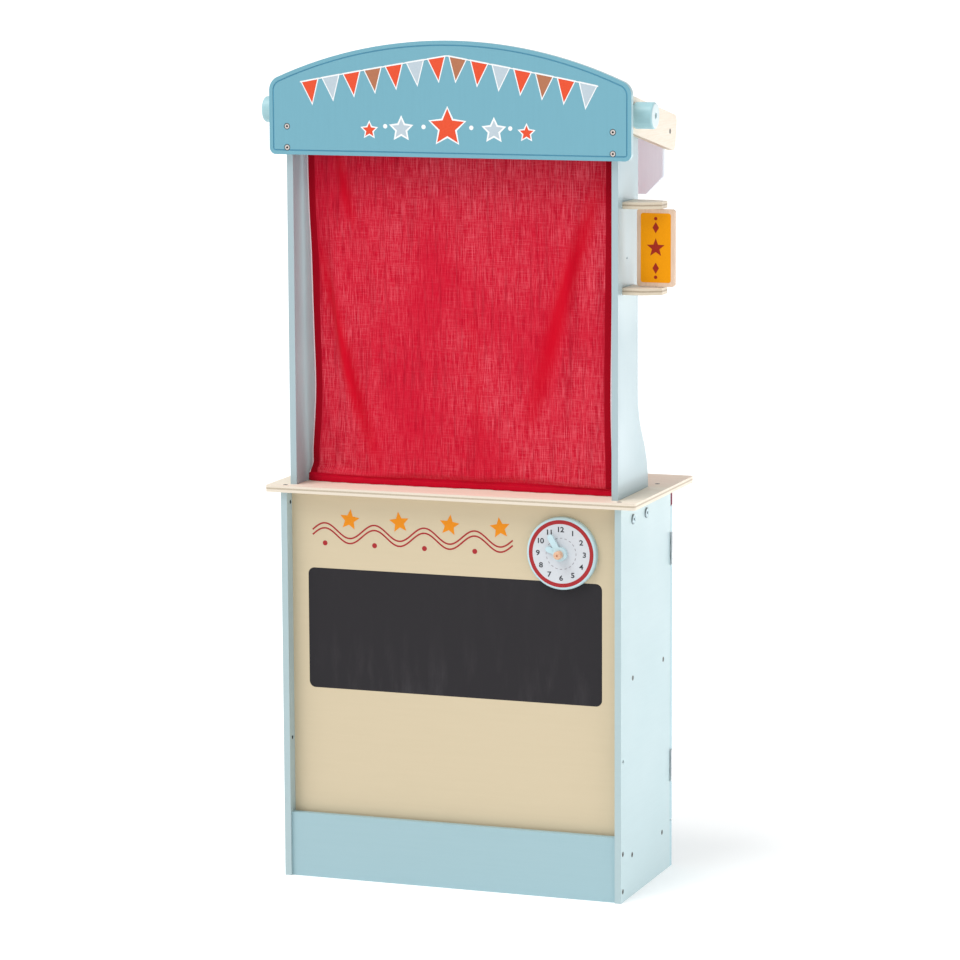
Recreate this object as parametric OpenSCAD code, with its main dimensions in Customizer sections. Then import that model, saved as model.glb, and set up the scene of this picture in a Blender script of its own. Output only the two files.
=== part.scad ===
// Toy puppet theatre: a board cupboard with a counter, two posts that carry an arched header,
// a roll-up curtain between the posts, a swivelling sign, a play clock and, at the back,
// a pair of cupboard doors and a shop sign board held by two sloping arms.
// Millimetres, Z up, the audience side faces -Y, the right hand of the audience is +X.

/* [Cupboard] */
// Outer width over both side panels
base_w = 491; // [450:1:540]
// Depth of a side panel, front edge to rear edge
base_d = 220; // [200:1:250]
// Height of a side panel, floor to the underside of the counter
base_h = 540; // [480:1:600]
// Thickness of every structural board
board = 9; // [8:0.5:12]
// Setback of the cream front panel behind the front edges of the side panels
panel_set = 17.5; // [15:0.5:20]
// Thickness of the front panel, which slides in grooves
panel_t = 6; // [5:0.5:7]
// Height of the kick board
kick_h = 90; // [70:1:110]
// Height of the rear plinth under the doors
plinth_h = 65; // [62:1:90]
// Height of the rear rail above the doors
rail_h = 28; // [22:1:36]
// Distance from the counter down to the middle of the middle shelf
shelf_down = 238.5; // [210:0.5:300]

/* [Counter] */
// Overhang of the counter at each side
counter_side = 21; // [10:1:24]
// Overhang of the counter at the front
counter_front = 6; // [4:1:9]
// Overhang of the counter behind the side panels
counter_rear = 40; // [30:1:60]
// Radius of the counter's corners
counter_r = 5; // [2:0.5:12]

/* [Posts and header] */
// Setback of the posts behind the front edges of the side panels
post_y = 14; // [12:1:18]
// Depth of a post above its flared foot
post_d = 86; // [76:1:96]
// Amount by which the foot of a post flares out at the back
flare = 46; // [30:1:56]
// Height of the flared foot
flare_h = 141; // [110:1:170]
// Height of the posts above the counter
post_h = 526; // [500:1:560]
// Overhang of the header at each side of the cupboard
header_side = 12; // [8:1:14]
// Height from the counter to the lower edge of the header
header_gap = 453.5; // [430:0.5:455]
// Height of the header at its middle
header_h = 155.5; // [150:0.5:180]
// Radius of the header's arched top edge
arch_r = 616.5; // [560:0.5:700]
// Radius of the header's shoulders
shoulder_r = 20; // [14:0.5:24]
// Radius of the header's lower corners
corner_r = 9; // [4:0.5:12]
// Distance from the header's edge to the middle of its routed line
line_in = 6; // [5:0.5:10]
// Width of the routed line
line_w = 1.8; // [1:0.1:2.4]

/* [Arms and rear sign board] */
// Height of an arm, measured across its slope
arm_h = 48.7; // [44:0.1:52]
// Slope of the arms, down towards the back, in degrees
arm_slope = 10.8; // [6:0.2:13]
// Y of the rear end of an arm
arm_rear = 244.5; // [238:0.5:255]
// Height of the rear sign board
rear_sign_h = 110; // [80:1:120]
// Cut-off corner of the rear sign board
rear_cut = 24; // [10:1:30]

/* [Curtain roller] */
// Diameter of the wooden rod
rod_d = 18; // [14:0.5:20]
// Diameter of a knob
knob_d = 35.6; // [30:0.2:38]
// Length of a knob
knob_len = 28.9; // [22:0.1:32]
// Sideways play of the roller, which lies at the left end of it
roller_play = 9.5; // [0:0.5:12]
// Height of the rod above the counter
rod_up = 511; // [505:1:514]
// Width of the curtain
curtain_w = 442; // [400:1:446]
// Thickness of the cloth wound once on the rod at rest
wound_t = 1; // [0.8:0.1:2]

/* [Swivelling sign] */
// Width of the sign board
sign_w = 52.5; // [44:0.5:56]
// Height of the sign board
sign_h = 103; // [80:1:110]
// Thickness of the sign board
sign_t = 6; // [5:0.5:8]
// Distance from the post to the sign's upright axis
pivot_out = 39.5; // [36:0.5:42]
// Height from the counter to the lower edge of the sign
sign_up = 284.5; // [240:0.5:300]
// Reach of a bracket from the post
bracket_len = 51; // [49:0.5:60]
// Width of a bracket at the post
bracket_w = 50; // [40:1:60]

/* [Clock] */
// Diameter of the dial disc
dial_d = 99; // [80:1:110]
// Thickness of the dial disc
dial_t = 9; // [6:0.5:10]
// Distance of the clock's centre from the middle of the theatre
clock_x = 158; // [140:1:165]
// Distance from the counter down to the clock's centre
clock_down = 66; // [60:1:70]
// Thickness of a clock hand
hand_t = 3.5; // [2.5:0.1:4]
// Length of the minute hand from the peg
minute_len = 30; // [24:0.5:34]
// Length of the hour hand from the peg
hour_len = 22; // [16:0.5:23]
// Width of a hand
hand_w = 8; // [6:0.5:10]
// Hour shown at rest
hour_now = 9.6; // [0:0.1:12]
// Minute shown at rest
minute_now = 55; // [0:1:59]

/* [Chalkboard] */
// Width of the chalkboard
chalk_w = 426; // [380:1:440]
// Height of the chalkboard
chalk_h = 168; // [120:1:180]
// Distance from the counter down to its upper edge
chalk_down = 106; // [92:1:130]

/* [Doors] */
// Distance from a door's lower end up to the middle of its lower hinge
hinge_up = 78.5; // [55:0.5:100]
// Distance from a door's upper end down to the middle of its upper hinge
hinge_down = 59; // [45:0.5:90]
// Length of a door hinge
hinge_len = 46; // [40:1:50]
// Diameter of a door knob
door_knob_d = 28; // [22:1:34]
// Length of a door knob
door_knob_len = 22; // [16:1:26]

/* [Clearances] */
// Running clearance, on the radius, of a shaft in its hole
run_c = 0.06; // [0.02:0.01:0.09]
// Gap between pieces that move against each other
move_c = 0.4; // [0.3:0.05:0.6]
// Assembly clearance, on the radius or side, of a fixed joint
fix_c = 0.04; // [0.02:0.01:0.1]

/* [Hidden] */
$fn = 64;
eps = 0.02;
half_w = base_w / 2;
inner_x = half_w - board;
post_x = inner_x - board;
mid_x = half_w - board / 2;
arm_x = inner_x + board;
top_z = base_h + board;
kick_y = 4;
shelf_z = base_h - shelf_down;
clock_z = base_h - clock_down;
chalk_z = base_h - chalk_down - chalk_h;
panel_y = panel_set;
panel_back = panel_y + panel_t;
groove_d = board / 2;
floor_z = plinth_h - 12.5;
shelf_end = base_d - 3.5;
door_y = base_d + move_c;
door_z0 = plinth_h + 1.5;
door_z1 = base_h - rail_h - 1;
hinge_lo = door_z0 + hinge_up;
hinge_hi = door_z1 - hinge_down;
post_mid_y = post_y + post_d / 2;
rod_z = top_z + rod_up;
rod_r = rod_d / 2;
roll_r = rod_r + wound_t;
knob_out = arm_x + move_c + 0.1 + knob_len;
header_z0 = top_z + header_gap;
header_z1 = header_z0 + header_h;
header_half = half_w + header_side;
header_y = post_y - board;
tongue_front = 16;
tongue_y0 = post_y + tongue_front;
tongue_back = 23;
tongue_y1 = post_y + post_d + tongue_back;
tongue_h = 45;
bolt_down = 21;
bolt_z = base_h - bolt_down;
bolt_front = 21.5;
bolt_back = 13;
bolt_head_r = 7;
bolt_r = 3;
sleeve_r = 4;
bracket_screw_dy = 16;
pilot_up = 37;
pilot_r = 1.8;
pin_depth = 14;
side_rear_lo = 36;
side_rear_hi = 32;
side_front_lo = 49;
side_front_hi = 51.5;
kick_screw_lo = 15;
kick_screw_hi = 23;
sign_in = 30.5;
rear_y = arm_rear - sign_in;
rear_z = rod_z - tan(arm_slope) * (rear_y - post_mid_y);
rear_top = rear_z + 23;
pivot_x = inner_x + pivot_out;
sign_z0 = top_z + sign_up;
sign_z1 = sign_z0 + sign_h;
sign_gap = 1.2;
pin_r = 1.5;
dial_y = panel_y - dial_t;
hour_y = dial_y - 0.3;
minute_y = hour_y - hand_t - 0.3;
peg_y = minute_y - hand_t - 0.3;
peg_head = 9.8;
peg_r = 3;
hub_r = 9.5;
hinge_x = half_w + 2.4;
hinge_y = base_d + move_c / 2;
knuckle_r = 2.1;
leaf_t = 0.8;
hinge_n = 5;
hinge_pitch = hinge_len / hinge_n;
door_knob_x = 24;
door_knob_z = (door_z0 + door_z1) / 2;
hem_h = 9;
hem_t = 2.4;
cloth_t = 0.8;
cloth_y = post_mid_y - roll_r - 0.3;
screw_r = 2;
head_r = 3.6;
panel_screw = 36;
counter_screw = 34;
rear_screw = 32;
arm_screw = 15;
bracket_screw = 24;
knob_screw = 26;
door_screw = 24;
counter_screw_in = 46;
arm_screw_in = 30;
header_screw_zs = [9.5, 38];
dot_r = 2.5;
dot_deep = 5;
cap_r = 3.4;
cap_h = 2.1;
cap_in = 0.3;
cap_gap = 1;
dots = [[9.5, 345.5], [12.5, 15.5]];
catch_x = 8;
catch_w = 32;
catch_d = 14;
catch_h = 12;

// The finished part stands on z = 0 with the middle of its bounding box at x = 0, y = 0.
x_hi = max(pivot_x + sign_w / 2, inner_x + bracket_len, knob_out);
x_lo = -knob_out - roller_play;
y_lo = min(peg_y - peg_head, -counter_front);
y_hi = max(base_d + counter_rear, arm_rear);
off_x = (x_hi + x_lo) / 2;
off_y = (y_hi + y_lo) / 2;

wall_blue = "#dae6ea";
header_blue = "#69aabe";
cream = "#d9ccac";
teal = "#a5c8d1";
ply = "#e6d7c8";
beech = "#d9b184";
slate = "#3a353a";
red = "#c8142d";
orange = "#de910a";
steel = "#b9bcc0";
lilac = "#d7cbdc";
white = "#e4e8ea";

// Placing

module place() {
    translate([-off_x, -off_y, 0]) children();
}

module both() {
    children();
    mirror([1, 0, 0]) children();
}

module side(s) {
    mirror([s < 0 ? 1 : 0, 0, 0]) children();
}

// A box between two corners.
module span(a, b) {
    translate(a) cube([b[0] - a[0], b[1] - a[1], b[2] - a[2]]);
}

// A flat outline drawn in Y and Z, made t thick from x.
module plate_x(x, t) {
    translate([x, 0, 0]) rotate([90, 0, 90]) linear_extrude(t) children();
}

// A flat outline drawn in X and Z, made t thick from y towards the back.
module plate_y(y, t) {
    translate([0, y + t, 0]) rotate([90, 0, 0]) linear_extrude(t) children();
}

// A cylinder along X from x0 to x1.
module rod_x(x0, x1, y, z, r) {
    translate([x0, y, z]) rotate([0, 90, 0]) cylinder(r = r, h = x1 - x0);
}

// A cylinder along Y from y0 to y1.
module rod_y(y0, y1, x, z, r) {
    translate([x, y1, z]) rotate([90, 0, 0]) cylinder(r = r, h = y1 - y0);
}

// A rectangle with rounded corners, lower left corner at the origin.
module round_rect(w, h, r) {
    translate([r, 0]) square([w - 2 * r, h]);
    translate([0, r]) square([w, h - 2 * r]);
    for (x = [r, w - r])
        for (y = [r, h - r])
            translate([x, y]) circle(r);
}

// A countersunk wood screw: the top of the head at the origin, the shank down -Z.
module screw(len, hr = head_r, sr = screw_r) {
    hh = hr - sr;
    difference() {
        union() {
            translate([0, 0, -hh]) cylinder(r1 = sr, r2 = hr, h = hh);
            translate([0, 0, -len]) cylinder(r = sr, h = len - hh + eps);
        }
        translate([0, 0, -hh * 0.9]) cylinder(r = hr * 0.4, h = hh, $fn = 6);
    }
}

// The hole that such a screw needs.
module screw_hole(len, hr = head_r, sr = screw_r) {
    hh = hr - sr;
    c = fix_c;
    translate([0, 0, -hh]) cylinder(r1 = sr + c, r2 = hr + c, h = hh);
    translate([0, 0, -eps]) cylinder(r = hr + c, h = 1);
    translate([0, 0, -len - c]) cylinder(r = sr + c, h = len - hh + c + eps);
}

// A cap screw that lies in a wider counterbore: the board's face at the origin, the shank down -Z.
module cap_screw(len) {
    z = -cap_in - cap_h;
    difference() {
        union() {
            translate([0, 0, z]) cylinder(r = cap_r, h = cap_h);
            translate([0, 0, -len]) cylinder(r = screw_r, h = len + z + eps);
        }
        translate([0, 0, -cap_in - 1.5]) cylinder(r = 1.6, h = 3, $fn = 6);
    }
}

module cap_screw_hole(len) {
    c = fix_c;
    translate([0, 0, -cap_in - cap_h - c]) cylinder(r = cap_r + cap_gap, h = cap_in + cap_h + 1);
    translate([0, 0, -len - c]) cylinder(r = screw_r + c, h = len);
}

// The screws of each joint, in place. hole = true gives the holes they need.

module at_screw(hole, len, hr = head_r) {
    if (hole) screw_hole(len, hr);
    else screw(len, hr);
}

function side_spots() = [[kick_y + board / 2, kick_screw_lo], [kick_y + board / 2, kick_h - kick_screw_hi],
                         [side_front_lo, floor_z + board / 2], [base_d - side_rear_lo, floor_z + board / 2],
                         [side_front_hi, shelf_z], [base_d - side_rear_hi, shelf_z]];

module side_screw_set(hole) {
    both() for (p = side_spots())
        translate([half_w, p[0], p[1]]) rotate([0, 90, 0]) at_screw(hole, panel_screw);
}

module counter_screw_set(hole) {
    both() for (y = [6, base_d - counter_screw_in])
        translate([mid_x, y, top_z]) at_screw(hole, counter_screw);
}

module rear_screw_set(hole) {
    both() for (z = [15, plinth_h - 15, base_h - rail_h / 2 + 0.5])
        translate([mid_x, base_d + board, z]) rotate([-90, 0, 0]) at_screw(hole, rear_screw);
}

module header_screw_set(hole) {
    both() for (z = header_screw_zs)
        translate([inner_x - board / 2, header_y, header_z0 + z]) rotate([90, 0, 0])
            if (hole) cap_screw_hole(counter_screw); else cap_screw(counter_screw);
}

module arm_screw_set(hole) {
    both() for (dy = [-arm_screw_in, arm_screw_in])
        translate([post_x, post_mid_y + dy, rod_z - tan(arm_slope) * dy]) rotate([0, -90, 0])
            at_screw(hole, arm_screw);
}

module rear_sign_screw_set(hole) {
    both() translate([arm_x, rear_y, rear_z - 1]) rotate([0, 90, 0]) at_screw(hole, counter_screw);
}

module bracket_screw_set(hole) {
    for (z = [sign_z0 - sign_gap - board / 2, sign_z1 + sign_gap + board / 2])
        for (dy = [-bracket_screw_dy, bracket_screw_dy])
            translate([post_x, post_mid_y + dy, z]) rotate([0, -90, 0])
                at_screw(hole, bracket_screw);
}

function bolt_ys() = [tongue_y0 + bolt_front, tongue_y1 - bolt_back];

// Cupboard

module side_panel(s) {
    side(s) difference() {
        span([inner_x, 0, 0], [half_w, base_d, base_h]);
        // groove for the front panel, stopped at the bottom
        span([inner_x - 1, panel_y - fix_c, floor_z], [inner_x + groove_d, panel_back + fix_c, base_h + 1]);
        // two small holes in front of the panel: a through one, and a blind one on the inner face
        rod_x(inner_x - 1, half_w + 1, dots[0][0], base_h - dots[0][1], dot_r);
        rod_x(inner_x - 1, inner_x + dot_deep, dots[1][0], base_h - dots[1][1], dot_r);
        // bolt holes for the post
        for (y = bolt_ys()) rod_x(inner_x - 1, half_w + 1, y, bolt_z, bolt_r + fix_c);
        // seats for the door hinges
        for (z = [hinge_lo, hinge_hi])
            span([inner_x - 1, base_d - leaf_t, z - hinge_len / 2 - fix_c],
                 [half_w + 1, base_d + 1, z + hinge_len / 2 + fix_c]);
        side_screw_set(true);
        counter_screw_set(true);
        rear_screw_set(true);
        hinge_screw_set(true, false);
    }
}

module side_panel_left() {
    color(wall_blue) place() side_panel(-1);
}

module side_panel_right() {
    color(wall_blue) place() side_panel(1);
}

module front_panel() {
    w = inner_x + groove_d - 0.3;
    color(cream) place() difference() {
        span([-w, panel_y, floor_z], [w, panel_back, base_h]);
        plate_y(panel_y - 1, 2) chalk_outline();
        rod_y(panel_y - 1, panel_back + 1, clock_x, clock_z, peg_r + fix_c);
    }
}

module chalk_outline() {
    translate([-chalk_w / 2, chalk_z]) round_rect(chalk_w, chalk_h, 9);
}

// A thin blackboard sheet let in flush with the face of the front panel.
module chalkboard() {
    color(slate) place() plate_y(panel_y, 1) chalk_outline();
}

module kick_board() {
    color(teal) place() difference() {
        span([-inner_x, kick_y, 0], [inner_x, kick_y + board, kick_h]);
        side_screw_set(true);
    }
}

module rear_plinth() {
    color(teal) place() difference() {
        span([-half_w, base_d, 0], [half_w, base_d + board, plinth_h]);
        rear_screw_set(true);
    }
}

module rear_rail() {
    color(lilac) place() difference() {
        span([-half_w, base_d, base_h - rail_h], [half_w, base_d + board, base_h]);
        rear_screw_set(true);
    }
}

module bottom_shelf() {
    color(ply) place() difference() {
        span([-inner_x, panel_back, floor_z], [inner_x, base_d, floor_z + board]);
        side_screw_set(true);
    }
}

module middle_shelf() {
    color(ply) place() difference() {
        span([-inner_x, panel_back, shelf_z - board / 2], [inner_x, shelf_end, shelf_z + board / 2]);
        side_screw_set(true);
    }
}

module counter() {
    w = half_w + counter_side;
    d = base_d + counter_front + counter_rear;
    c = 0.25;
    color(ply) place() difference() {
        translate([-w, -counter_front, base_h]) linear_extrude(board) round_rect(2 * w, d, counter_r);
        // slots for the tongues of the posts
        both() span([post_x - c, tongue_y0 - c, base_h - 1], [inner_x + c, tongue_y1 + c, top_z + 1]);
        counter_screw_set(true);
    }
}

// Posts, header, arms

// Outline of a post in Y and Z: a straight front edge, a tongue below, a rear edge that
// flares out at the foot in two tangent arcs, and rounded upper corners.
module post_outline() {
    y1 = post_y + post_d;
    r = (flare * flare + flare_h * flare_h) / (4 * flare);
    zm = top_z + flare_h / 2;
    zt = top_z + post_h;
    // straight part
    translate([post_y, top_z]) round_rect(post_d, post_h, 8);
    translate([post_y, top_z]) square([post_d, post_h / 2]);
    // lower, bulging half of the foot
    intersection() {
        translate([y1 + flare - r, top_z]) circle(r, $fn = 180);
        translate([y1 - 2, top_z]) square([flare + 4, flare_h / 2]);
    }
    // upper, hollow half of the foot
    difference() {
        translate([y1 - 2, zm - eps]) square([flare / 2 + 2, flare_h / 2 + eps]);
        translate([y1 + r, top_z + flare_h]) circle(r, $fn = 180);
    }
    // tongue through the counter
    translate([tongue_y0, base_h - tongue_h]) round_rect(tongue_y1 - tongue_y0, tongue_h + board + 6, 5);
}

module post(s) {
    side(s) difference() {
        plate_x(post_x, board) post_outline();
        rod_x(post_x - 1, inner_x + 1, post_mid_y, rod_z, rod_r + run_c);
        for (y = bolt_ys()) rod_x(post_x - 1, inner_x + 1, y, bolt_z, sleeve_r + fix_c);
        header_screw_set(true);
        arm_screw_set(true);
    }
}

module post_left() {
    color(wall_blue) place() post(-1);
}

// The right post also holds the sign's brackets and has a small pilot hole between them.
module post_right() {
    color(wall_blue) place() difference() {
        post(1);
        bracket_screw_set(true);
        rod_x(inner_x - 5, inner_x + 1, post_mid_y - 5, sign_z0 + pilot_up, pilot_r);
    }
}

// Outline of the header in X and Z, every edge moved inwards by d. The arch is one large
// circle and each shoulder a small one that meets the arch and touches the upright edge.
module header_outline(d) {
    zc = header_z1 - arch_r;
    cx = header_half - shoulder_r;
    dr = arch_r - shoulder_r;
    ct = zc + sqrt(dr * dr - cx * cx);
    cz = ct + 0.05;
    k = 1.2 * arch_r / dr;
    kz = zc + (ct - zc) * k;
    intersection() {
        translate([0, zc]) circle(arch_r - d, $fn = 360);
        polygon([[-cx, ct], [0, zc], [cx, ct], [cx * k, kz], [-cx * k, kz]]);
        translate([-header_half, header_z0 + d]) square([2 * header_half, header_h]);
    }
    for (s = [-1, 1]) translate([s * cx, cz]) circle(shoulder_r - d);
    rb = corner_r > d + 1 ? corner_r - d : 1;
    translate([-header_half + d, header_z0 + d + rb])
        square([2 * (header_half - d), cz - header_z0 - d - rb]);
    translate([-header_half + d + rb, header_z0 + d]) square([2 * (header_half - d - rb), rb + 1]);
    for (s = [-1, 1])
        translate([s * (header_half - d - rb), header_z0 + d + rb]) circle(rb);
}

module header_board() {
    color(header_blue) place() difference() {
        plate_y(header_y, board) header_outline(0);
        // the routed line
        plate_y(header_y - 1, 1.8) difference() {
            header_outline(line_in - line_w / 2);
            header_outline(line_in + line_w / 2);
        }
        header_screw_set(true);
    }
}

// Outline of an arm in Y and Z, drawn level about the rod's axis and then sloped. Its
// rounded corners end just behind the header and at arm_rear.
module arm_outline() {
    r = 10;
    drop = (arm_h / 2 - r) * sin(arm_slope);
    f = (post_mid_y - post_y - 1 - r - drop) / cos(arm_slope) + r;
    g = (arm_rear - post_mid_y - r - drop) / cos(arm_slope) + r;
    translate([post_mid_y, rod_z]) rotate(-arm_slope) translate([-f, -arm_h / 2])
        round_rect(f + g, arm_h, r);
}

module arm(s) {
    side(s) difference() {
        plate_x(inner_x, board) arm_outline();
        rod_x(inner_x - 1, arm_x + 1, post_mid_y, rod_z, rod_r + run_c);
        arm_screw_set(true);
        rear_sign_screw_set(true);
    }
}

module arm_left() {
    color(ply) place() arm(-1);
}

module arm_right() {
    color(ply) place() arm(1);
}

module rear_sign_board() {
    z0 = rear_top - rear_sign_h;
    w = inner_x;
    c = rear_cut;
    color(lilac) place() difference() {
        plate_y(rear_y - board / 2, board)
            polygon([[-w, z0 + c], [-w + c, z0], [w - c, z0], [w, z0 + c], [w, rear_top], [-w, rear_top]]);
        rear_sign_screw_set(true);
    }
}

// Fasteners

module header_screws() {
    color(steel) place() header_screw_set(false);
}

module arm_screws() {
    color(steel) place() arm_screw_set(false);
}

module rear_sign_screws() {
    color(steel) place() rear_sign_screw_set(false);
}

module side_screws() {
    color(steel) place() side_screw_set(false);
}

module counter_screws() {
    color(steel) place() counter_screw_set(false);
}

module rear_screws() {
    color(steel) place() rear_screw_set(false);
}

// Flat-headed furniture bolts through the side panels into the tongues.
module post_bolts() {
    color(steel) place() both() for (y = bolt_ys())
        translate([half_w, y, bolt_z]) rotate([0, 90, 0]) difference() {
            union() {
                cylinder(r = bolt_head_r, h = 1.2);
                translate([0, 0, 1.2 - eps]) cylinder(r1 = bolt_head_r, r2 = bolt_head_r - 1, h = 0.8);
                translate([0, 0, -2 * board + 1]) cylinder(r = bolt_r, h = 2 * board);
            }
            translate([0, 0, 0.4]) cylinder(r = 2.3, h = 3, $fn = 6);
        }
}

// Sleeve nuts with a flat head on the inner face of each tongue.
module post_nuts() {
    color(steel) place() both() for (y = bolt_ys())
        translate([post_x, y, bolt_z]) rotate([0, 90, 0]) difference() {
            union() {
                translate([0, 0, -1.4]) cylinder(r = bolt_head_r, h = 1.4);
                cylinder(r = sleeve_r, h = board - 0.2);
            }
            translate([0, 0, -0.4]) cylinder(r = bolt_r + fix_c, h = board + 1);
            translate([0, 0, -2]) cylinder(r = 2.3, h = 2.2, $fn = 6);
        }
}

// Curtain roller

module curtain_rod() {
    x = knob_out - 8;
    color(beech) place() difference() {
        rod_x(-x - roller_play, x, post_mid_y, rod_z, rod_r);
        knob_screw_places() screw_hole(knob_screw);
    }
}

module knob_screw_place() {
    translate([knob_out - 1.2, post_mid_y, rod_z]) rotate([0, 90, 0]) children();
}

module knob_screw_places() {
    knob_screw_place() children();
    translate([-roller_play, 0, 0]) side(-1) knob_screw_place() children();
}

module knob(s) {
    r = knob_d / 2;
    e = 3;
    x0 = knob_out - knob_len + (s < 0 ? roller_play : 0);
    side(s) translate([x0, post_mid_y, rod_z]) rotate([0, 90, 0]) difference() {
        union() {
            cylinder(r = r - e, h = knob_len);
            translate([0, 0, e]) cylinder(r = r, h = knob_len - 2 * e);
            for (z = [e, knob_len - e]) translate([0, 0, z]) rotate_extrude()
                translate([r - e, 0]) circle(e);
        }
        translate([0, 0, -1]) cylinder(r = rod_r + fix_c, h = knob_len - 8 + 1 + fix_c);
        translate([0, 0, knob_len - 1.2]) screw_hole(knob_screw);
        translate([0, 0, knob_len - 1.2]) cylinder(r = 4, h = 2);
    }
}

module knob_left() {
    color(wall_blue) place() knob(-1);
}

module knob_right() {
    color(wall_blue) place() knob(1);
}

module knob_screws() {
    color(steel) place() knob_screw_places() screw(knob_screw);
}

// Two turns of the cloth that stay on the rod when the curtain hangs down.
module curtain_roll() {
    color(red) place() difference() {
        rod_x(-curtain_w / 2, curtain_w / 2, post_mid_y, rod_z, roll_r);
        rod_x(-curtain_w / 2 - 1, curtain_w / 2 + 1, post_mid_y, rod_z, rod_r + fix_c);
    }
}

// The hanging cloth. It gets shorter as the roller winds it up.
module curtain() {
    color(red) place()
        span([-curtain_w / 2, cloth_y - cloth_t, top_z + 0.5 + hem_h + 0.3],
             [curtain_w / 2, cloth_y, rod_z]);
}

// The folded and stitched hem at the foot of the curtain.
module curtain_hem() {
    y = cloth_y - cloth_t / 2;
    color(red) place()
        span([-curtain_w / 2, y - hem_t / 2, top_z + 0.5],
             [curtain_w / 2, y + hem_t / 2, top_z + 0.5 + hem_h]);
}

// Swivelling sign

module bracket(z0) {
    w = bracket_w / 2;
    t = bracket_w * 0.24;
    k = 27.5;
    color(ply) place() difference() {
        translate([inner_x, post_mid_y, z0]) linear_extrude(board)
            polygon([[0, -w], [k, -w], [bracket_len, -t], [bracket_len, t], [k, w], [0, w]]);
        translate([pivot_x, post_mid_y, sign_z0 - sign_gap - 6])
            cylinder(r = pin_r + run_c, h = sign_h + 2 * sign_gap + 12);
        bracket_screw_set(true);
    }
}

module sign_bracket_upper() {
    bracket(sign_z1 + sign_gap);
}

module sign_bracket_lower() {
    bracket(sign_z0 - sign_gap - board);
}

module bracket_screws() {
    color(steel) place() bracket_screw_set(false);
}

module sign_board() {
    color(orange) place() difference() {
        translate([pivot_x - sign_w / 2, 0, sign_z0]) plate_y(post_mid_y - sign_t / 2, sign_t)
            round_rect(sign_w, sign_h, 4);
        for (z = [sign_z0 - 1, sign_z1 - pin_depth])
            translate([pivot_x, post_mid_y, z]) cylinder(r = pin_r + fix_c, h = pin_depth + 1);
    }
}

module sign_pins() {
    color(steel) place() for (z = [sign_z0 - sign_gap - 5.5, sign_z1 - 13.5])
        translate([pivot_x, post_mid_y, z]) cylinder(r = pin_r, h = 19 + sign_gap);
}

// Clock

module clock_dial() {
    r = dial_d / 2;
    e = 3.5;
    color(white) place() translate([clock_x, panel_y, clock_z]) rotate([90, 0, 0]) difference() {
        union() {
            cylinder(r = r, h = dial_t - e, $fn = 128);
            cylinder(r = r - e, h = dial_t, $fn = 128);
            translate([0, 0, dial_t - e]) rotate_extrude($fn = 128) translate([r - e, 0])
                circle(e);
        }
        translate([0, 0, -1]) cylinder(r = peg_r + fix_c, h = dial_t + 2);
    }
}

// Turned wooden peg: its shank passes the hands and the dial and is glued in the panel.
module clock_peg() {
    r = 5.6;
    color(beech) place() translate([clock_x, peg_y, clock_z]) rotate([90, 0, 0]) {
        cylinder(r = r, h = peg_head - 2);
        translate([0, 0, peg_head - 2]) cylinder(r = r - 2, h = 2);
        translate([0, 0, peg_head - 2]) rotate_extrude() intersection() {
            translate([r - 2, 0]) circle(2);
            square([r, 2]);
        }
        translate([0, 0, peg_y - panel_back]) cylinder(r = peg_r, h = panel_back - peg_y + eps);
    }
}

// Outline of a hand that points up: a round hub and a straight arm with a round tip.
module hand_outline(len) {
    r = hand_w / 2;
    difference() {
        union() {
            circle(hub_r);
            translate([-r, 0]) square([hand_w, len - r]);
            translate([0, len - r]) circle(r);
        }
        circle(peg_r + run_c);
    }
}

module hand(y, len, turn) {
    translate([clock_x, y, clock_z]) rotate([0, turn, 0])
        rotate([90, 0, 0]) linear_extrude(hand_t) hand_outline(len);
}

module hour_hand() {
    color(wall_blue) place() hand(hour_y, hour_len, hour_now * 30);
}

module minute_hand() {
    color(wall_blue) place() hand(minute_y, minute_len, minute_now * 6);
}

// Doors

module door(s) {
    side(s) difference() {
        span([1, door_y, door_z0], [half_w, door_y + board, door_z1]);
        for (z = [hinge_lo, hinge_hi])
            span([inner_x - 0.3, door_y - 1, z - hinge_len / 2 - fix_c],
                 [half_w + 1, door_y + leaf_t, z + hinge_len / 2 + fix_c]);
        door_knob_screw_place() screw_hole(door_screw);
        hinge_screw_set(true, true);
    }
}

module door_left() {
    color(teal) place() door(-1);
}

module door_right() {
    color(teal) place() door(1);
}

module door_knob_screw_place() {
    translate([door_knob_x, door_y, door_knob_z]) rotate([90, 0, 0]) children();
}

module door_knob(s) {
    r = door_knob_d / 2;
    l = door_knob_len;
    side(s) translate([door_knob_x, door_y + board, door_knob_z]) rotate([-90, 0, 0]) difference() {
        union() {
            cylinder(r = r * 0.5, h = l - 6);
            translate([0, 0, l - 13]) cylinder(r1 = r * 0.5, r2 = r, h = 6);
            translate([0, 0, l - 7]) cylinder(r = r, h = 4);
            translate([0, 0, l - 3]) cylinder(r1 = r, r2 = r - 3, h = 3);
        }
        translate([0, 0, -1]) cylinder(r = screw_r + fix_c, h = door_screw - board + 1 + fix_c);
    }
}

module door_knob_left() {
    color(beech) place() door_knob(-1);
}

module door_knob_right() {
    color(beech) place() door_knob(1);
}

module door_knob_screw_left() {
    color(steel) place() side(-1) door_knob_screw_place() screw(door_screw);
}

module door_knob_screw_right() {
    color(steel) place() door_knob_screw_place() screw(door_screw);
}

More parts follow.
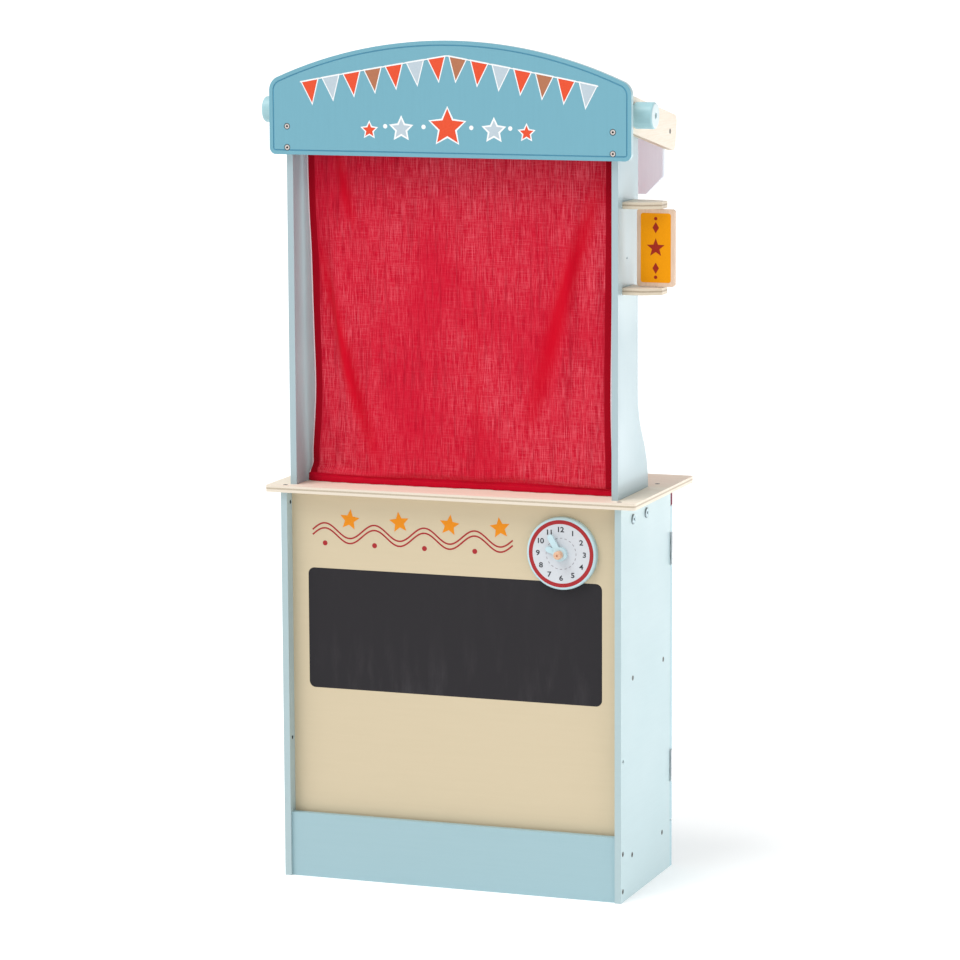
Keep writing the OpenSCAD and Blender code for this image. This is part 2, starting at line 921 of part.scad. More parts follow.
// One leaf of a butt hinge with its own knuckles, at z = 0. moving gives the door's leaf.
module leaf(moving) {
    y0 = moving ? door_y : base_d - leaf_t;
    first = moving ? 1 : 0;
    g = move_c / 2;
    difference() {
        union() {
            span([inner_x + 0.1, y0, -hinge_len / 2], [half_w - 0.3, y0 + leaf_t, hinge_len / 2]);
            for (i = [first:2:hinge_n - 1]) {
                z0 = -hinge_len / 2 + i * hinge_pitch + g;
                z1 = z0 + hinge_pitch - 2 * g;
                span([half_w - 1, y0, z0], [hinge_x, y0 + leaf_t, z1]);
                translate([hinge_x, hinge_y, z0]) cylinder(r = knuckle_r, h = z1 - z0, $fn = 32);
            }
        }
        translate([hinge_x, hinge_y, -hinge_len])
            cylinder(r = 1 + (moving ? run_c : fix_c), h = 2 * hinge_len);
        for (z = [-12, 12]) translate([mid_x - 0.2, moving ? door_y : base_d, z])
            rotate([moving ? 90 : -90, 0, 0]) screw_hole(7, 1.6, 0.9);
    }
}

module hinge_at() {
    for (z = [hinge_lo, hinge_hi]) translate([0, 0, z]) children();
}

module hinge_leaves_frame() {
    color(steel) place() both() hinge_at() leaf(false);
}

module hinge_leaves_left() {
    color(steel) place() side(-1) hinge_at() leaf(true);
}

module hinge_leaves_right() {
    color(steel) place() hinge_at() leaf(true);
}

// Small screws of the hinge leaves on the +X side, for the panel or for the door.
module hinge_screw_set(hole, moving) {
    for (hz = [hinge_lo, hinge_hi]) for (z = [hz - 12, hz + 12])
        translate([mid_x - 0.2, moving ? door_y : base_d, z]) rotate([moving ? 90 : -90, 0, 0])
            if (hole) screw_hole(7, 1.6, 0.9); else screw(7, 1.6, 0.9);
}

module hinge_screws_frame() {
    color(steel) place() both() hinge_screw_set(false, false);
}

module hinge_screws_left() {
    color(steel) place() side(-1) hinge_screw_set(false, true);
}

module hinge_screws_right() {
    color(steel) place() hinge_screw_set(false, true);
}

module hinge_pins() {
    color(steel) place() both() hinge_at()
        translate([hinge_x, hinge_y, -hinge_len / 2]) cylinder(r = 1, h = hinge_len, $fn = 32);
}

// Magnetic catches on the middle shelf and the steel plates they hold.
module magnet_catches() {
    z0 = shelf_z + board / 2;
    color(white) place() both()
        span([catch_x, shelf_end - catch_d, z0], [catch_x + catch_w, door_y - 1 - move_c, z0 + catch_h]);
}

module strike(s) {
    z0 = shelf_z + board / 2;
    color(steel) place() side(s)
        span([catch_x + 2, door_y - 1, z0 + 1], [catch_x + catch_w - 2, door_y, z0 + catch_h - 1]);
}

module strike_left() {
    strike(-1);
}

module strike_right() {
    strike(1);
}

// Nodes

side_panel_left();
side_panel_right();
front_panel();
chalkboard();
kick_board();
rear_plinth();
rear_rail();
bottom_shelf();
middle_shelf();
counter();
post_left();
post_right();
header_board();
header_screws();
arm_left();
arm_right();
arm_screws();
rear_sign_board();
rear_sign_screws();
side_screws();
counter_screws();
post_bolts();
post_nuts();
rear_screws();
curtain_rod();
knob_left();
knob_right();
knob_screws();
curtain_roll();
curtain();
curtain_hem();
sign_bracket_upper();
sign_bracket_lower();
bracket_screws();
sign_board();
sign_pins();
clock_dial();
clock_peg();
hour_hand();
minute_hand();
door_left();
door_right();
door_knob_left();
door_knob_right();
door_knob_screw_left();
door_knob_screw_right();
hinge_leaves_frame();
hinge_leaves_left();
hinge_leaves_right();
hinge_pins();
hinge_screws_frame();
hinge_screws_left();
hinge_screws_right();
magnet_catches();
strike_left();
strike_right();
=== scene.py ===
# %% [markdown]
# # A toy puppet theatre
# The theatre is a painted cupboard with two posts, an arched header, a red roll-up curtain, a swivelling
# sign, a play clock and a chalkboard. The boards come in as fixed solids, so this lesson gives them their
# finish, and then makes by hand what a solid can't be: the cloth and the printed decoration.

# %% Load the boards
import math

import bpy
from mathutils import Matrix, Vector


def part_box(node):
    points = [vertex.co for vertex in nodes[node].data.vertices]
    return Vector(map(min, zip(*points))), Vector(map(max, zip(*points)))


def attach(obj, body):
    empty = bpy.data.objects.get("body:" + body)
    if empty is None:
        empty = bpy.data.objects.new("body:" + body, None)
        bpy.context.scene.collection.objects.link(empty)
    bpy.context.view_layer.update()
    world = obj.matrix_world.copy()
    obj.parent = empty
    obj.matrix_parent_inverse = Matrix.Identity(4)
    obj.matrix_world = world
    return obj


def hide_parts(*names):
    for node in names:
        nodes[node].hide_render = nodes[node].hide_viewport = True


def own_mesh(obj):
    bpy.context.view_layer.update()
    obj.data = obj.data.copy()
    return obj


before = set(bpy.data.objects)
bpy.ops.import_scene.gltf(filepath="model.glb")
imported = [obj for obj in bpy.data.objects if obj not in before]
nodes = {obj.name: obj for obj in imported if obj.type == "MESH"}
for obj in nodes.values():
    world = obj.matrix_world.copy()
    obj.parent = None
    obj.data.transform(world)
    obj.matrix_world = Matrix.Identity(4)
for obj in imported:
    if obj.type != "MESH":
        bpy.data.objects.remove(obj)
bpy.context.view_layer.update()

# %% [markdown]
# The camera stands to the right of the middle, a little above the header, and looks down by nine degrees.
# A long lens far away keeps the posts nearly upright. The numbers come from matching corners of the boards.

# %% Camera
MM = 0.001
OFF_X, OFF_Y = 8.925, 125.4
CAMERA_TURN, CAMERA_PITCH, CAMERA_ROLL = 20.109, 8.7, -0.281


def place(x, y, z):
    """A point given in millimetres from the middle of the cupboard and its front edge."""
    return Vector(((x - OFF_X) * MM, (y - OFF_Y) * MM, z * MM))


def about(axis, degrees):
    return Matrix.Rotation(math.radians(degrees), 4, axis)


camera_data = bpy.data.cameras.new("camera")
camera_data.lens = 149.6
camera_data.sensor_width = 36
camera = bpy.data.objects.new("camera", camera_data)
bpy.context.scene.collection.objects.link(camera)
aimed = about("Z", CAMERA_TURN) @ about("X", 90 - CAMERA_PITCH)
camera.matrix_world = Matrix.Translation(place(1871.3, -4986.2, 1382.7)) @ aimed @ about("Z", CAMERA_ROLL)
bpy.context.scene.camera = camera
print("camera stands", round(camera.location.length, 2), "m away")

# %% [markdown]
# Product pictures of toys are taken on a white sweep with large soft lamps, and a white world around the
# toy fills every shadow. Blender reckons in linear light, while paint colours are picked as sRGB hex
# values, so one function turns the one into the other.

# %% World
WORLD_LIGHT = 0.70
scene = bpy.context.scene
scene.view_settings.view_transform = "Standard"
scene.view_settings.look = "None"


def linear(hex_colour):
    """An sRGB hex colour as linear red, green, blue and alpha."""
    parts = [int(hex_colour[i : i + 2], 16) / 255 for i in (0, 2, 4)]
    return tuple([c / 12.92 if c <= 0.04045 else ((c + 0.055) / 1.055) ** 2.4 for c in parts]) + (1.0,)


world = bpy.data.worlds.new("white sweep")
scene.world = world
world.use_nodes = True
world.node_tree.nodes["Background"].inputs["Color"].default_value = (1, 1, 1, 1)
world.node_tree.nodes["Background"].inputs["Strength"].default_value = WORLD_LIGHT
print("sRGB 808080 in linear light:", [round(c, 3) for c in linear("808080")])

# %% [markdown]
# One big lamp at the left front shapes the boards. A strong one at the right rear puts the bright veil on
# the right-hand sides that satin paint shows at a glancing angle. A weak lamp at the right front gives the
# sign its soft shadow, and a low one lifts the foot of the right-hand side. The left post, the rear sign
# board and the curtain are kept out of the rear lamp's light, as a black flag beside the lamp does it in a
# studio. Places are in metres and powers in watts, but the key is a sun, whose strength is in watts per
# square metre.

# %% Lamps
def lamp(name, kind, at, aim, power, **shape):
    """A lamp at one point that shines at another, both in metres."""
    data = bpy.data.lights.new(name, kind)
    data.energy = power
    for key, value in shape.items():
        setattr(data, key, value)
    o = bpy.data.objects.new(name, data)
    o.location = at
    o.rotation_mode = "QUATERNION"
    o.rotation_quaternion = (Vector(aim) - Vector(at)).to_track_quat("-Z", "Y")
    scene.collection.objects.link(o)
    return o


lamp("key", "SUN", (-1.7, -2.2, 4.6), (0, 0, 0.4), 1.7, angle=math.radians(38))
window = lamp(
    "window", "AREA", (1.25, 2.9, 0.42), (0.3, 0.0, 0.2), 17.5, shape="RECTANGLE", size=3.2, size_y=0.8
)
fill = lamp("fill", "AREA", (2.9, -1.6, 1.5), (0.1, 0.0, 0.8), 3, shape="RECTANGLE", size=0.9, size_y=0.9)
low_lamp = lamp(
    "low lamp", "AREA", (0.95, 0.05, 0.1), (0.25, 0.0, 0.12), 2.6, shape="RECTANGLE", size=0.8, size_y=0.15
)
for o in (window, fill, low_lamp):
    o.visible_camera = False
shaded = bpy.data.collections.new("out of the window light")
window.light_linking.receiver_collection = shaded


def flag(o):
    """Keeps the window lamp's light off one piece."""
    shaded.objects.link(o)
    for entry in shaded.collection_objects:
        entry.light_linking.link_state = "EXCLUDE"


flag(nodes["post_left"])
flag(nodes["rear_sign_board"])

# %% [markdown]
# The sweep is white paper that is lit from below as well, so only the shadow right beside the toy is left.
# A weak glow stands in for that light.

# %% Floor
FLOOR_GLOW = 0.165
bpy.ops.mesh.primitive_plane_add(size=400, location=(0, 0, 0))
floor = bpy.context.object
floor.name = "floor"
sweep = bpy.data.materials.new("white paper sweep")
sweep.use_nodes = True
paper = sweep.node_tree.nodes["Principled BSDF"]
paper.inputs["Base Color"].default_value = linear("f8f8f8")
paper.inputs["Roughness"].default_value = 0.9
paper.inputs["Specular IOR Level"].default_value = 0.1
paper.inputs["Emission Color"].default_value = (1, 1, 1, 1)
paper.inputs["Emission Strength"].default_value = FLOOR_GLOW
floor.data.materials.append(sweep)
print("floor:", [round(side) for side in floor.dimensions[:2]], "m")

# %% [markdown]
# Every finish below is a small tree of nodes, and one function adds a node to it. It gives each socket a
# value, a hex colour or the output that feeds it. Sockets that are used often go by their number: a Map
# Range node has its value in 0, the range that it reads in 1 and 2, and the range that it gives in 3 and 4,
# which is 0 to 1 if nothing is said. A Mix node of colours has its share in 0 and its colours in 6 and 7.

# %% One function for nodes
RGBA = {"out": 2, "data_type": "RGBA"}


def add(tree, kind, sockets, out=0, **settings):
    """Adds one node with its settings and whatever goes into its sockets, and returns one of its outputs."""
    node = tree.nodes.new("ShaderNode" + kind)
    for name, value in settings.items():
        setattr(node, name, value)
    for name, value in sockets.items():
        if isinstance(value, bpy.types.NodeSocket):
            tree.links.new(value, node.inputs[name])
        else:
            node.inputs[name].default_value = linear(value) if isinstance(value, str) else value
    return node.outputs[out]


def shader(name, rough):
    """A fresh material with its tree, its Principled shader and the object coordinates."""
    made = bpy.data.materials.new(name)
    made.use_nodes = True
    bsdf = made.node_tree.nodes["Principled BSDF"]
    bsdf.inputs["Roughness"].default_value = rough
    return made, made.node_tree, bsdf, add(made.node_tree, "TexCoord", {}, "Object")


def reopen(made):
    """The tree, shader, object coordinates and present colour of a material that gets one more coat."""
    nodes_in = made.node_tree.nodes
    bsdf = nodes_in["Principled BSDF"]
    coat = bsdf.inputs["Base Color"].links[0].from_socket
    return made.node_tree, bsdf, nodes_in["Texture Coordinate"].outputs["Object"], coat


def stretched(tree, spot, across, detail=3.0, rough=0.5):
    """Noise whose spots are drawn out. across says how many of them fit in a metre along X, Y and Z, so it
    is 1000 over their size in millimetres."""
    moved = add(tree, "VectorMath", {0: spot, 1: across}, operation="MULTIPLY")
    return add(tree, "TexNoise", {"Vector": moved, "Scale": 1.0, "Detail": detail, "Roughness": rough})


print("node function ready, a mix of colours gives output", RGBA["out"])

# %% [markdown]
# The boards are plywood with a sprayed satin lacquer. Such a lacquer shows a very fine orange peel, a
# ghost of the grain under it, and spots that are a little more or less glossy. All of it is noise in object
# coordinates: the peel is about 1.2 mm across, and the grain is stretched along the board, 70 mm by 4 mm.

# %% Painted boards
def lacquer(name, colour, deep, grain=(14, 14, 260), rough=0.42):
    """Sprayed satin lacquer on plywood: colour on the faces, deep in the ghost of the grain."""
    made, tree, bsdf, spot = shader(name, rough)
    ghost = stretched(tree, spot, grain, 4.0, 0.6)
    share = add(tree, "MapRange", {0: ghost, 1: 0.35, 2: 0.75, 4: 0.4})
    tint = add(tree, "Mix", {0: share, 6: colour, 7: deep}, **RGBA)
    tree.links.new(tint, bsdf.inputs["Base Color"])
    peel = stretched(tree, spot, (850, 850, 850), 1.5, 0.4)
    felt = add(tree, "Bump", {"Height": peel, "Distance": 0.04 * MM, "Strength": 0.5})
    felt = add(tree, "Bump", {"Height": ghost, "Distance": 0.05 * MM, "Strength": 0.5, "Normal": felt})
    tree.links.new(felt, bsdf.inputs["Normal"])
    uneven = stretched(tree, spot, (9, 9, 9), 2.0)
    uneven = add(tree, "MapRange", {0: uneven, 1: 0.3, 2: 0.7, 3: rough - 0.05, 4: rough + 0.06})
    tree.links.new(uneven, bsdf.inputs["Roughness"])
    return made


pale_blue = lacquer("pale blue lacquer", "99b8c0", "94b4bc")
side_blue = lacquer("pale blue lacquer on sides", "a8bdc1", "a3b8bd")
post_blue = lacquer("pale blue lacquer on posts", "a3b7bd", "9eb3b9", (260, 260, 14))
light_blue = lacquer("light blue lacquer", "bcd7de", "b0ccd4")
knob_blue = lacquer("turquoise lacquer", "a4ccd3", "97c2ca")
header_blue = lacquer("sea blue lacquer", "6ca5b6", "68a0b1", (260, 14, 14), 0.38)
cream = lacquer("cream lacquer", "cbbc9e", "c7b899", (14, 14, 200), 0.45)
lilac = lacquer("lilac lacquer", "dce3ec", "d4dbe6", (260, 14, 14))
maroon = lacquer("maroon lacquer", "6e1e3c", "5f1832", (260, 14, 14), 0.6)
maroon.node_tree.nodes["Principled BSDF"].inputs["Specular IOR Level"].default_value = 0.15
print("lacquers:", pale_blue.name, header_blue.name, cream.name)

# %% [markdown]
# The walls of the holes in the side panels are painted dark grey, as painted shade inside the bores. Each one is
# found by its distance from the drill's axis, and only from a millimetre under the outer face, so the face around
# a hole keeps its colour.

# %% Painted shade in the drill holes
HALF_WIDTH = 245.5
DRILLED = ((9.5, 194.5), (12.5, 524.5))
tree, bsdf, spot, painted = reopen(side_blue)
flattened = add(tree, "VectorMath", {0: spot, 1: (0, 1, 1)}, operation="MULTIPLY")
from_middle = add(tree, "Math", {0: add(tree, "SeparateXYZ", {0: spot}), 1: OFF_X * MM}, operation="ADD")
from_middle = add(tree, "Math", {0: from_middle}, operation="ABSOLUTE")
below_face = add(tree, "MapRange", {0: from_middle, 1: (HALF_WIDTH - 0.8) * MM, 2: (HALF_WIDTH - 1.2) * MM})
for drill_y, drill_z in DRILLED:
    axis_at = (0, (drill_y - OFF_Y) * MM, drill_z * MM)
    away = add(tree, "VectorMath", {0: flattened, 1: axis_at}, "Value", operation="DISTANCE")
    hole_shade = add(tree, "MapRange", {0: away, 1: 2.9 * MM, 2: 2.7 * MM})
    hole_shade = add(tree, "Math", {0: hole_shade, 1: below_face}, operation="MULTIPLY")
    # Painted shade: the walls of the holes turn dark grey.
    painted = add(tree, "Mix", {0: hole_shade, 6: painted, 7: "4a5255"}, **RGBA)
tree.links.new(painted, bsdf.inputs["Base Color"])
print("drill holes darkened on each side:", len(DRILLED))

# %% [markdown]
# The roller's knobs are turquoise around. Their flat ends are painted paler: partly the pale blue paint of the
# cupboard's sides, and lighter still as a painted highlight from the lamps at the sides. An end is where the
# surface faces along the rod.

# %% Painted highlight on the knob ends
tree, bsdf, _, around = reopen(knob_blue)
end_x = add(tree, "SeparateXYZ", {0: add(tree, "NewGeometry", {}, "True Normal")})
end_on = add(tree, "Math", {0: end_x}, operation="ABSOLUTE")
end_on = add(tree, "MapRange", {0: end_on, 1: 0.75, 2: 0.9})
# Painted highlight: the ends are mixed to a paler colour than the rounds.
lit_ends = add(tree, "Mix", {0: end_on, 6: around, 7: "cddde0"}, **RGBA)
tree.links.new(lit_ends, bsdf.inputs["Base Color"])
print("knob ends paler than their rounds")

# %% [markdown]
# The header's routed line is a darker blue, partly its own tint and partly painted shade of the groove. The
# bottoms of its four counterbores are painted darker still, as painted shade around the screw heads. Both lie
# deeper than the face and look to the front, so the depth and the normal pick them out. The sprayed colour and
# the dark ones are mixed by these masks. The board was sprayed pale blue before its face got the stronger colour,
# so its edges stay pale.

# %% Darker blue and painted shade in the routed line and the counterbores
HEADER_Y = 5.0


def header_depth(mm):
    """The object coordinate Y of what lies so many millimetres behind the header's face."""
    return (HEADER_Y + mm - OFF_Y) * MM


tree, bsdf, spot, sprayed = reopen(header_blue)
deep_y = add(tree, "SeparateXYZ", {0: spot}, 1)
front_y = add(tree, "SeparateXYZ", {0: add(tree, "NewGeometry", {}, "True Normal")}, 1)
faces_front = add(tree, "MapRange", {0: front_y, 1: -0.5, 2: -0.7})
below = add(tree, "MapRange", {0: deep_y, 1: header_depth(0.35), 2: header_depth(0.55)})
groove = add(tree, "Math", {0: below, 1: faces_front}, operation="MULTIPLY")
deepest = add(tree, "MapRange", {0: deep_y, 1: header_depth(1.2), 2: header_depth(1.6)})
bore_shade = add(tree, "Math", {0: deepest, 1: faces_front}, operation="MULTIPLY")
# Painted shade: the counterbore bottoms turn dark.
sprayed = add(tree, "Mix", {0: bore_shade, 6: sprayed, 7: "3b4f59"}, **RGBA)
groove = add(tree, "Math", {0: groove, 1: bore_shade}, operation="SUBTRACT")
groove = add(tree, "Math", {0: groove, 1: 0.0}, operation="MAXIMUM")
# The routed line: a darker blue, partly its own tint and partly painted shade.
groove_tint_and_shade = add(tree, "Mix", {0: groove, 6: sprayed, 7: "4b95b2"}, **RGBA)
edge_on = add(tree, "Math", {0: front_y}, operation="ABSOLUTE")
edge_on = add(tree, "MapRange", {0: edge_on, 1: 0.75, 2: 0.6})
behind_line = add(tree, "MapRange", {0: deep_y, 1: header_depth(1.0), 2: header_depth(1.2)})
rim = add(tree, "Math", {0: edge_on, 1: behind_line}, operation="MULTIPLY")
rimmed = add(tree, "Mix", {0: rim, 6: groove_tint_and_shade, 7: "a8c4ca"}, **RGBA)
tree.links.new(rimmed, bsdf.inputs["Base Color"])
print("routed line filled, face at", header_depth(0.0))

# %% [markdown]
# Bare plywood shows two things. The face veneer has long fibres, darker pores and a broad slow figure. The
# edge shows the plies: light ones cut along the grain and darker ones cut across it. Which of the two is
# seen depends on whether the surface faces along the board's thickness, so the normal picks between them.
# A fibre is about 37 mm long and 2 mm wide, and the figure is fourteen times as large.

# %% Plywood
BOARD, PLIES = 9 * MM, 3


def plywood(name, axis, start, thick, grain, light="efe4d5", dark="e5d7c3", rim="cfc2ac", ply="a3937d"):
    """Birch plywood. axis is the board's thickness axis, start its lower face in metres. light and dark are
    the veneer's colours, rim and ply those of the edge."""
    made, tree, bsdf, spot = shader(name, 0.55)
    fibre = stretched(tree, spot, tuple(g * 3 for g in grain), 5.0, 0.65)
    figure = stretched(tree, spot, tuple(g * 0.22 for g in grain), 2.0, 0.5)
    pores = add(tree, "MapRange", {0: fibre, 1: 0.42, 2: 0.72})
    face = add(tree, "Mix", {0: pores, 6: light, 7: dark}, **RGBA)
    slow = add(tree, "MapRange", {0: figure, 1: 0.4, 2: 0.7, 4: 0.45})
    face = add(tree, "Mix", {0: slow, 6: face, 7: dark}, **RGBA)
    depth = add(tree, "SeparateXYZ", {0: spot}, axis)
    depth = add(tree, "MapRange", {0: depth, 1: start, 2: start + thick, 4: PLIES / 2})
    band = add(tree, "Math", {0: depth}, operation="FRACT")
    dark_ply = add(tree, "MapRange", {0: band, 1: 0.60, 2: 0.64})
    edge = add(tree, "Mix", {0: dark_ply, 6: rim, 7: ply}, **RGBA)
    end = stretched(tree, spot, (900, 900, 900), 3.0, 0.6)
    end = add(tree, "MapRange", {0: end, 1: 0.45, 2: 0.75, 4: 0.35})
    edge = add(tree, "Mix", {0: end, 6: edge, 7: dark}, **RGBA)
    facing = add(tree, "SeparateXYZ", {0: add(tree, "NewGeometry", {}, "True Normal")}, axis)
    facing = add(tree, "Math", {0: facing}, operation="ABSOLUTE")
    facing = add(tree, "MapRange", {0: facing, 1: 0.6, 2: 0.8})
    tree.links.new(add(tree, "Mix", {0: facing, 6: edge, 7: face}, **RGBA), bsdf.inputs["Base Color"])
    felt = add(tree, "Bump", {"Height": fibre, "Distance": 0.08 * MM, "Strength": 0.45})
    tree.links.new(felt, bsdf.inputs["Normal"])
    return made


woods = {}
for node, name, axis, grain in (
    ("arm_left", "birch plywood left arm", 0, (150, 9, 150)),
    ("arm_right", "birch plywood right arm", 0, (150, 9, 150)),
    ("sign_bracket_upper", "birch plywood upper bracket", 2, (9, 150, 150)),
    ("sign_bracket_lower", "birch plywood lower bracket", 2, (9, 150, 150)),
    ("bottom_shelf", "birch plywood bottom shelf", 2, (9, 150, 150)),
    ("middle_shelf", "birch plywood middle shelf", 2, (9, 150, 150)),
):
    woods[node] = plywood(name, axis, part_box(node)[0][axis], BOARD, grain)
counter_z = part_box("counter")[0].z
woods["counter"] = plywood(
    "birch plywood counter", 2, counter_z, BOARD, (9, 150, 150), "f3e8d8", "e9d9c4", "ddd3c3", "b5a894"
)
woods["counter"].node_tree.nodes["Principled BSDF"].inputs["Specular IOR Level"].default_value = 0.25
sign_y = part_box("sign_board")[0].y
woods["sign_board"] = plywood(
    "lime wood sign", 1, sign_y, 6 * MM, (150, 150, 9), "dcc0a8", "cfb096", "dcc0a8", "c4a58a"
)
print("plywood boards:", len(woods))

# %% [markdown]
# The rod, the clock's peg and the doors' knobs are turned from beech and varnished. Beech has short brown
# flecks on a warm ground, here 25 mm long on the rod and about a millimetre and a half wide.

# %% Turned beech
def turned_wood(name, light, dark, grain):
    """Turned beech: short brown flecks on a warm ground, satin from a clear varnish."""
    made, tree, bsdf, spot = shader(name, 0.4)
    fleck = stretched(tree, spot, grain, 4.0, 0.7)
    share = add(tree, "MapRange", {0: fleck, 1: 0.45, 2: 0.7})
    tree.links.new(add(tree, "Mix", {0: share, 6: light, 7: dark}, **RGBA), bsdf.inputs["Base Color"])
    felt = add(tree, "Bump", {"Height": fleck, "Distance": 0.06 * MM, "Strength": 0.5})
    tree.links.new(felt, bsdf.inputs["Normal"])
    return made


beech_rod = turned_wood("beech rod", "e2bd91", "c4955f", (40, 700, 700))
beech_peg = turned_wood("beech peg", "dcb496", "c08f70", (700, 60, 700))
print("turned woods:", beech_rod.name, beech_peg.name)

# %% [markdown]
# Screws, bolts and hinges are plated steel: a bright metal that is slightly cloudy. Metallic is 1, and the
# roughness wanders around its middle value, between a quarter on the screws and a half on the bolts. The sockets
# of the cap screws in the header are painted dark, as painted shade in the recess. On the bolts only the flat
# outer faces of the heads keep the plated colour, and their bevelled rims and hexagon sockets are painted darker,
# as painted shade. The catches are moulded ABS with a fine grain.

# %% Metal and plastic
def plated(name, colour, dull, rough):
    """Plated steel that is cloudy between two colours."""
    made, tree, bsdf, spot = shader(name, rough)
    bsdf.inputs["Metallic"].default_value = 1.0
    cloud = stretched(tree, spot, (300, 300, 300), 3.0, 0.6)
    tree.links.new(add(tree, "Mix", {0: cloud, 6: colour, 7: dull}, **RGBA), bsdf.inputs["Base Color"])
    wander = add(tree, "MapRange", {0: cloud, 1: 0.3, 2: 0.7, 3: rough - 0.06, 4: rough + 0.1})
    tree.links.new(wander, bsdf.inputs["Roughness"])
    return made


zinc = plated("zinc-plated steel", "eceded", "b9bcc0", 0.36)
screw_steel = plated("nickel-plated screws", "efe8e4", "b4aeaa", 0.3)
dark_steel = plated("browned steel screws", "5f5a56", "35312f", 0.42)

socket_steel = plated("nickel-plated screws with painted socket shade", "efe8e4", "b4aeaa", 0.3)
tree, bsdf, spot, plate = reopen(socket_steel)
socket_shade = add(tree, "SeparateXYZ", {0: spot}, 1)
socket_shade = add(tree, "MapRange", {0: socket_shade, 1: header_depth(0.7), 2: header_depth(1.0)})
# Painted shade: the sockets, deeper than a millimetre, turn nearly black.
tree.links.new(add(tree, "Mix", {0: socket_shade, 6: plate, 7: "2a2624"}, **RGBA), bsdf.inputs["Base Color"])

bolt_steel = plated("zinc-plated bolts with painted rim shade", "a3b6bb", "8ca0a6", 0.42)
tree, bsdf, spot, plate = reopen(bolt_steel)
bolt_x = add(tree, "SeparateXYZ", {0: spot})
facing_x = add(tree, "SeparateXYZ", {0: add(tree, "NewGeometry", {}, "True Normal")})
heads = []
for side in (1, -1):
    panel_x = (side * HALF_WIDTH - OFF_X) * MM
    outward = add(tree, "MapRange", {0: facing_x, 1: side * 0.85, 2: side * 0.95})
    high = add(tree, "MapRange", {0: bolt_x, 1: panel_x + side * 1.2 * MM, 2: panel_x + side * 1.6 * MM})
    heads.append(add(tree, "Math", {0: outward, 1: high}, operation="MULTIPLY"))
flat_faces = add(tree, "Math", {0: heads[0], 1: heads[1]}, operation="ADD")
# Painted shade: all but the heads' flat outer faces is darker.
tree.links.new(add(tree, "Mix", {0: flat_faces, 6: "868f93", 7: plate}, **RGBA), bsdf.inputs["Base Color"])

abs_white, tree, bsdf, spot = shader("white ABS", 0.5)
speck = stretched(tree, spot, (1400, 1400, 1400), 1.0)
tree.links.new(add(tree, "Mix", {0: speck, 6: "ecebe6", 7: "dedcd6"}, **RGBA), bsdf.inputs["Base Color"])
felt = add(tree, "Bump", {"Height": speck, "Distance": 0.03 * MM, "Strength": 0.5})
tree.links.new(felt, bsdf.inputs["Normal"])
print("metals:", zinc.name, screw_steel.name, bolt_steel.name)

# %% [markdown]
# A chalkboard is coated with a matt paint full of grit. After a few wipes a thin veil of chalk stays in
# upright smears, mostly low down where a small hand rubs it out. A smear is about 22 mm wide and 110 mm
# high, and the grit is drawn 0.7 mm coarse so that it shows.

# %% Chalkboard paint
slate, tree, bsdf, spot = shader("chalkboard paint", 0.72)
bsdf.inputs["Specular IOR Level"].default_value = 0.4
smear = stretched(tree, spot, (45, 45, 9), 5.0, 0.6)
smear = add(tree, "MapRange", {0: smear, 1: 0.5, 2: 0.85})
low_down = add(tree, "SeparateXYZ", {0: spot}, 2)
low_down = add(tree, "MapRange", {0: low_down, 1: 0.36, 2: 0.27, 3: 0.15, 4: 1.0})
veil = add(tree, "Math", {0: smear, 1: low_down}, operation="MULTIPLY")
fine = stretched(tree, spot, (400, 400, 60), 3.0, 0.6)
veil = add(tree, "Math", {0: veil, 1: fine}, operation="MULTIPLY")
veil = add(tree, "MapRange", {0: veil, 4: 0.16})
tree.links.new(add(tree, "Mix", {0: veil, 6: "1b181d", 7: "8d8a90"}, **RGBA), bsdf.inputs["Base Color"])
grit = stretched(tree, spot, (1500, 1500, 1500), 1.0)
felt = add(tree, "Bump", {"Height": grit, "Distance": 0.04 * MM, "Strength": 0.6})
tree.links.new(felt, bsdf.inputs["Normal"])
print("chalkboard:", len(tree.nodes), "nodes")

# %% [markdown]
# Screen-printed ink lies on the lacquer as a film of a few hundredths of a millimetre. It is modelled as
# real thin shapes, a little thicker than in life, so it keeps a crisp border at any size and stays clear of
# the board. Its colour is nearly even, with faint mottling from the screen, 2 mm across.

# %% Printing inks
def ink(name, colour, thin, rough=0.5, shine=0.15):
    """Ink of a colour, with its thinner spots in the colour thin."""
    made, tree, bsdf, spot = shader(name, rough)
    mottle = stretched(tree, spot, (500, 500, 500), 2.0)
    share = add(tree, "MapRange", {0: mottle, 1: 0.3, 2: 0.8, 4: 0.6})
    tree.links.new(add(tree, "Mix", {0: share, 6: colour, 7: thin}, **RGBA), bsdf.inputs["Base Color"])
    felt = add(tree, "Bump", {"Height": mottle, "Distance": 0.02 * MM, "Strength": 0.5})
    tree.links.new(felt, bsdf.inputs["Normal"])
    bsdf.inputs["Specular IOR Level"].default_value = shine
    return made


ink_red = ink("red ink", "a52f33", "99282d")
ink_orange_red = ink("orange-red ink", "df5334", "d44828")
ink_white = ink("white ink", "eef0f0", "e4e8ea")
ink_grey = ink("pale grey ink", "b9c6cf", "aebcc6")
ink_tan = ink("tan ink", "b07355", "a4684b")
ink_orange = ink("orange ink", "e58d1c", "da8214")
ink_sign = ink("orange sign ink", "e89600", "de8c00", 0.45, 0.1)
ink_dark_red = ink("dark red ink", "9c2612", "8c1e0e")
ink_dial = ink("white dial ink", "cbcfd4", "c3c8ce")
ink_numeral = ink("dark grey ink", "35373c", "404248", 0.6)
ink_dash = ink("mid grey ink", "928f96", "88858c", 0.6)
print("inks:", len([m for m in bpy.data.materials if m.name.endswith(" ink")]))

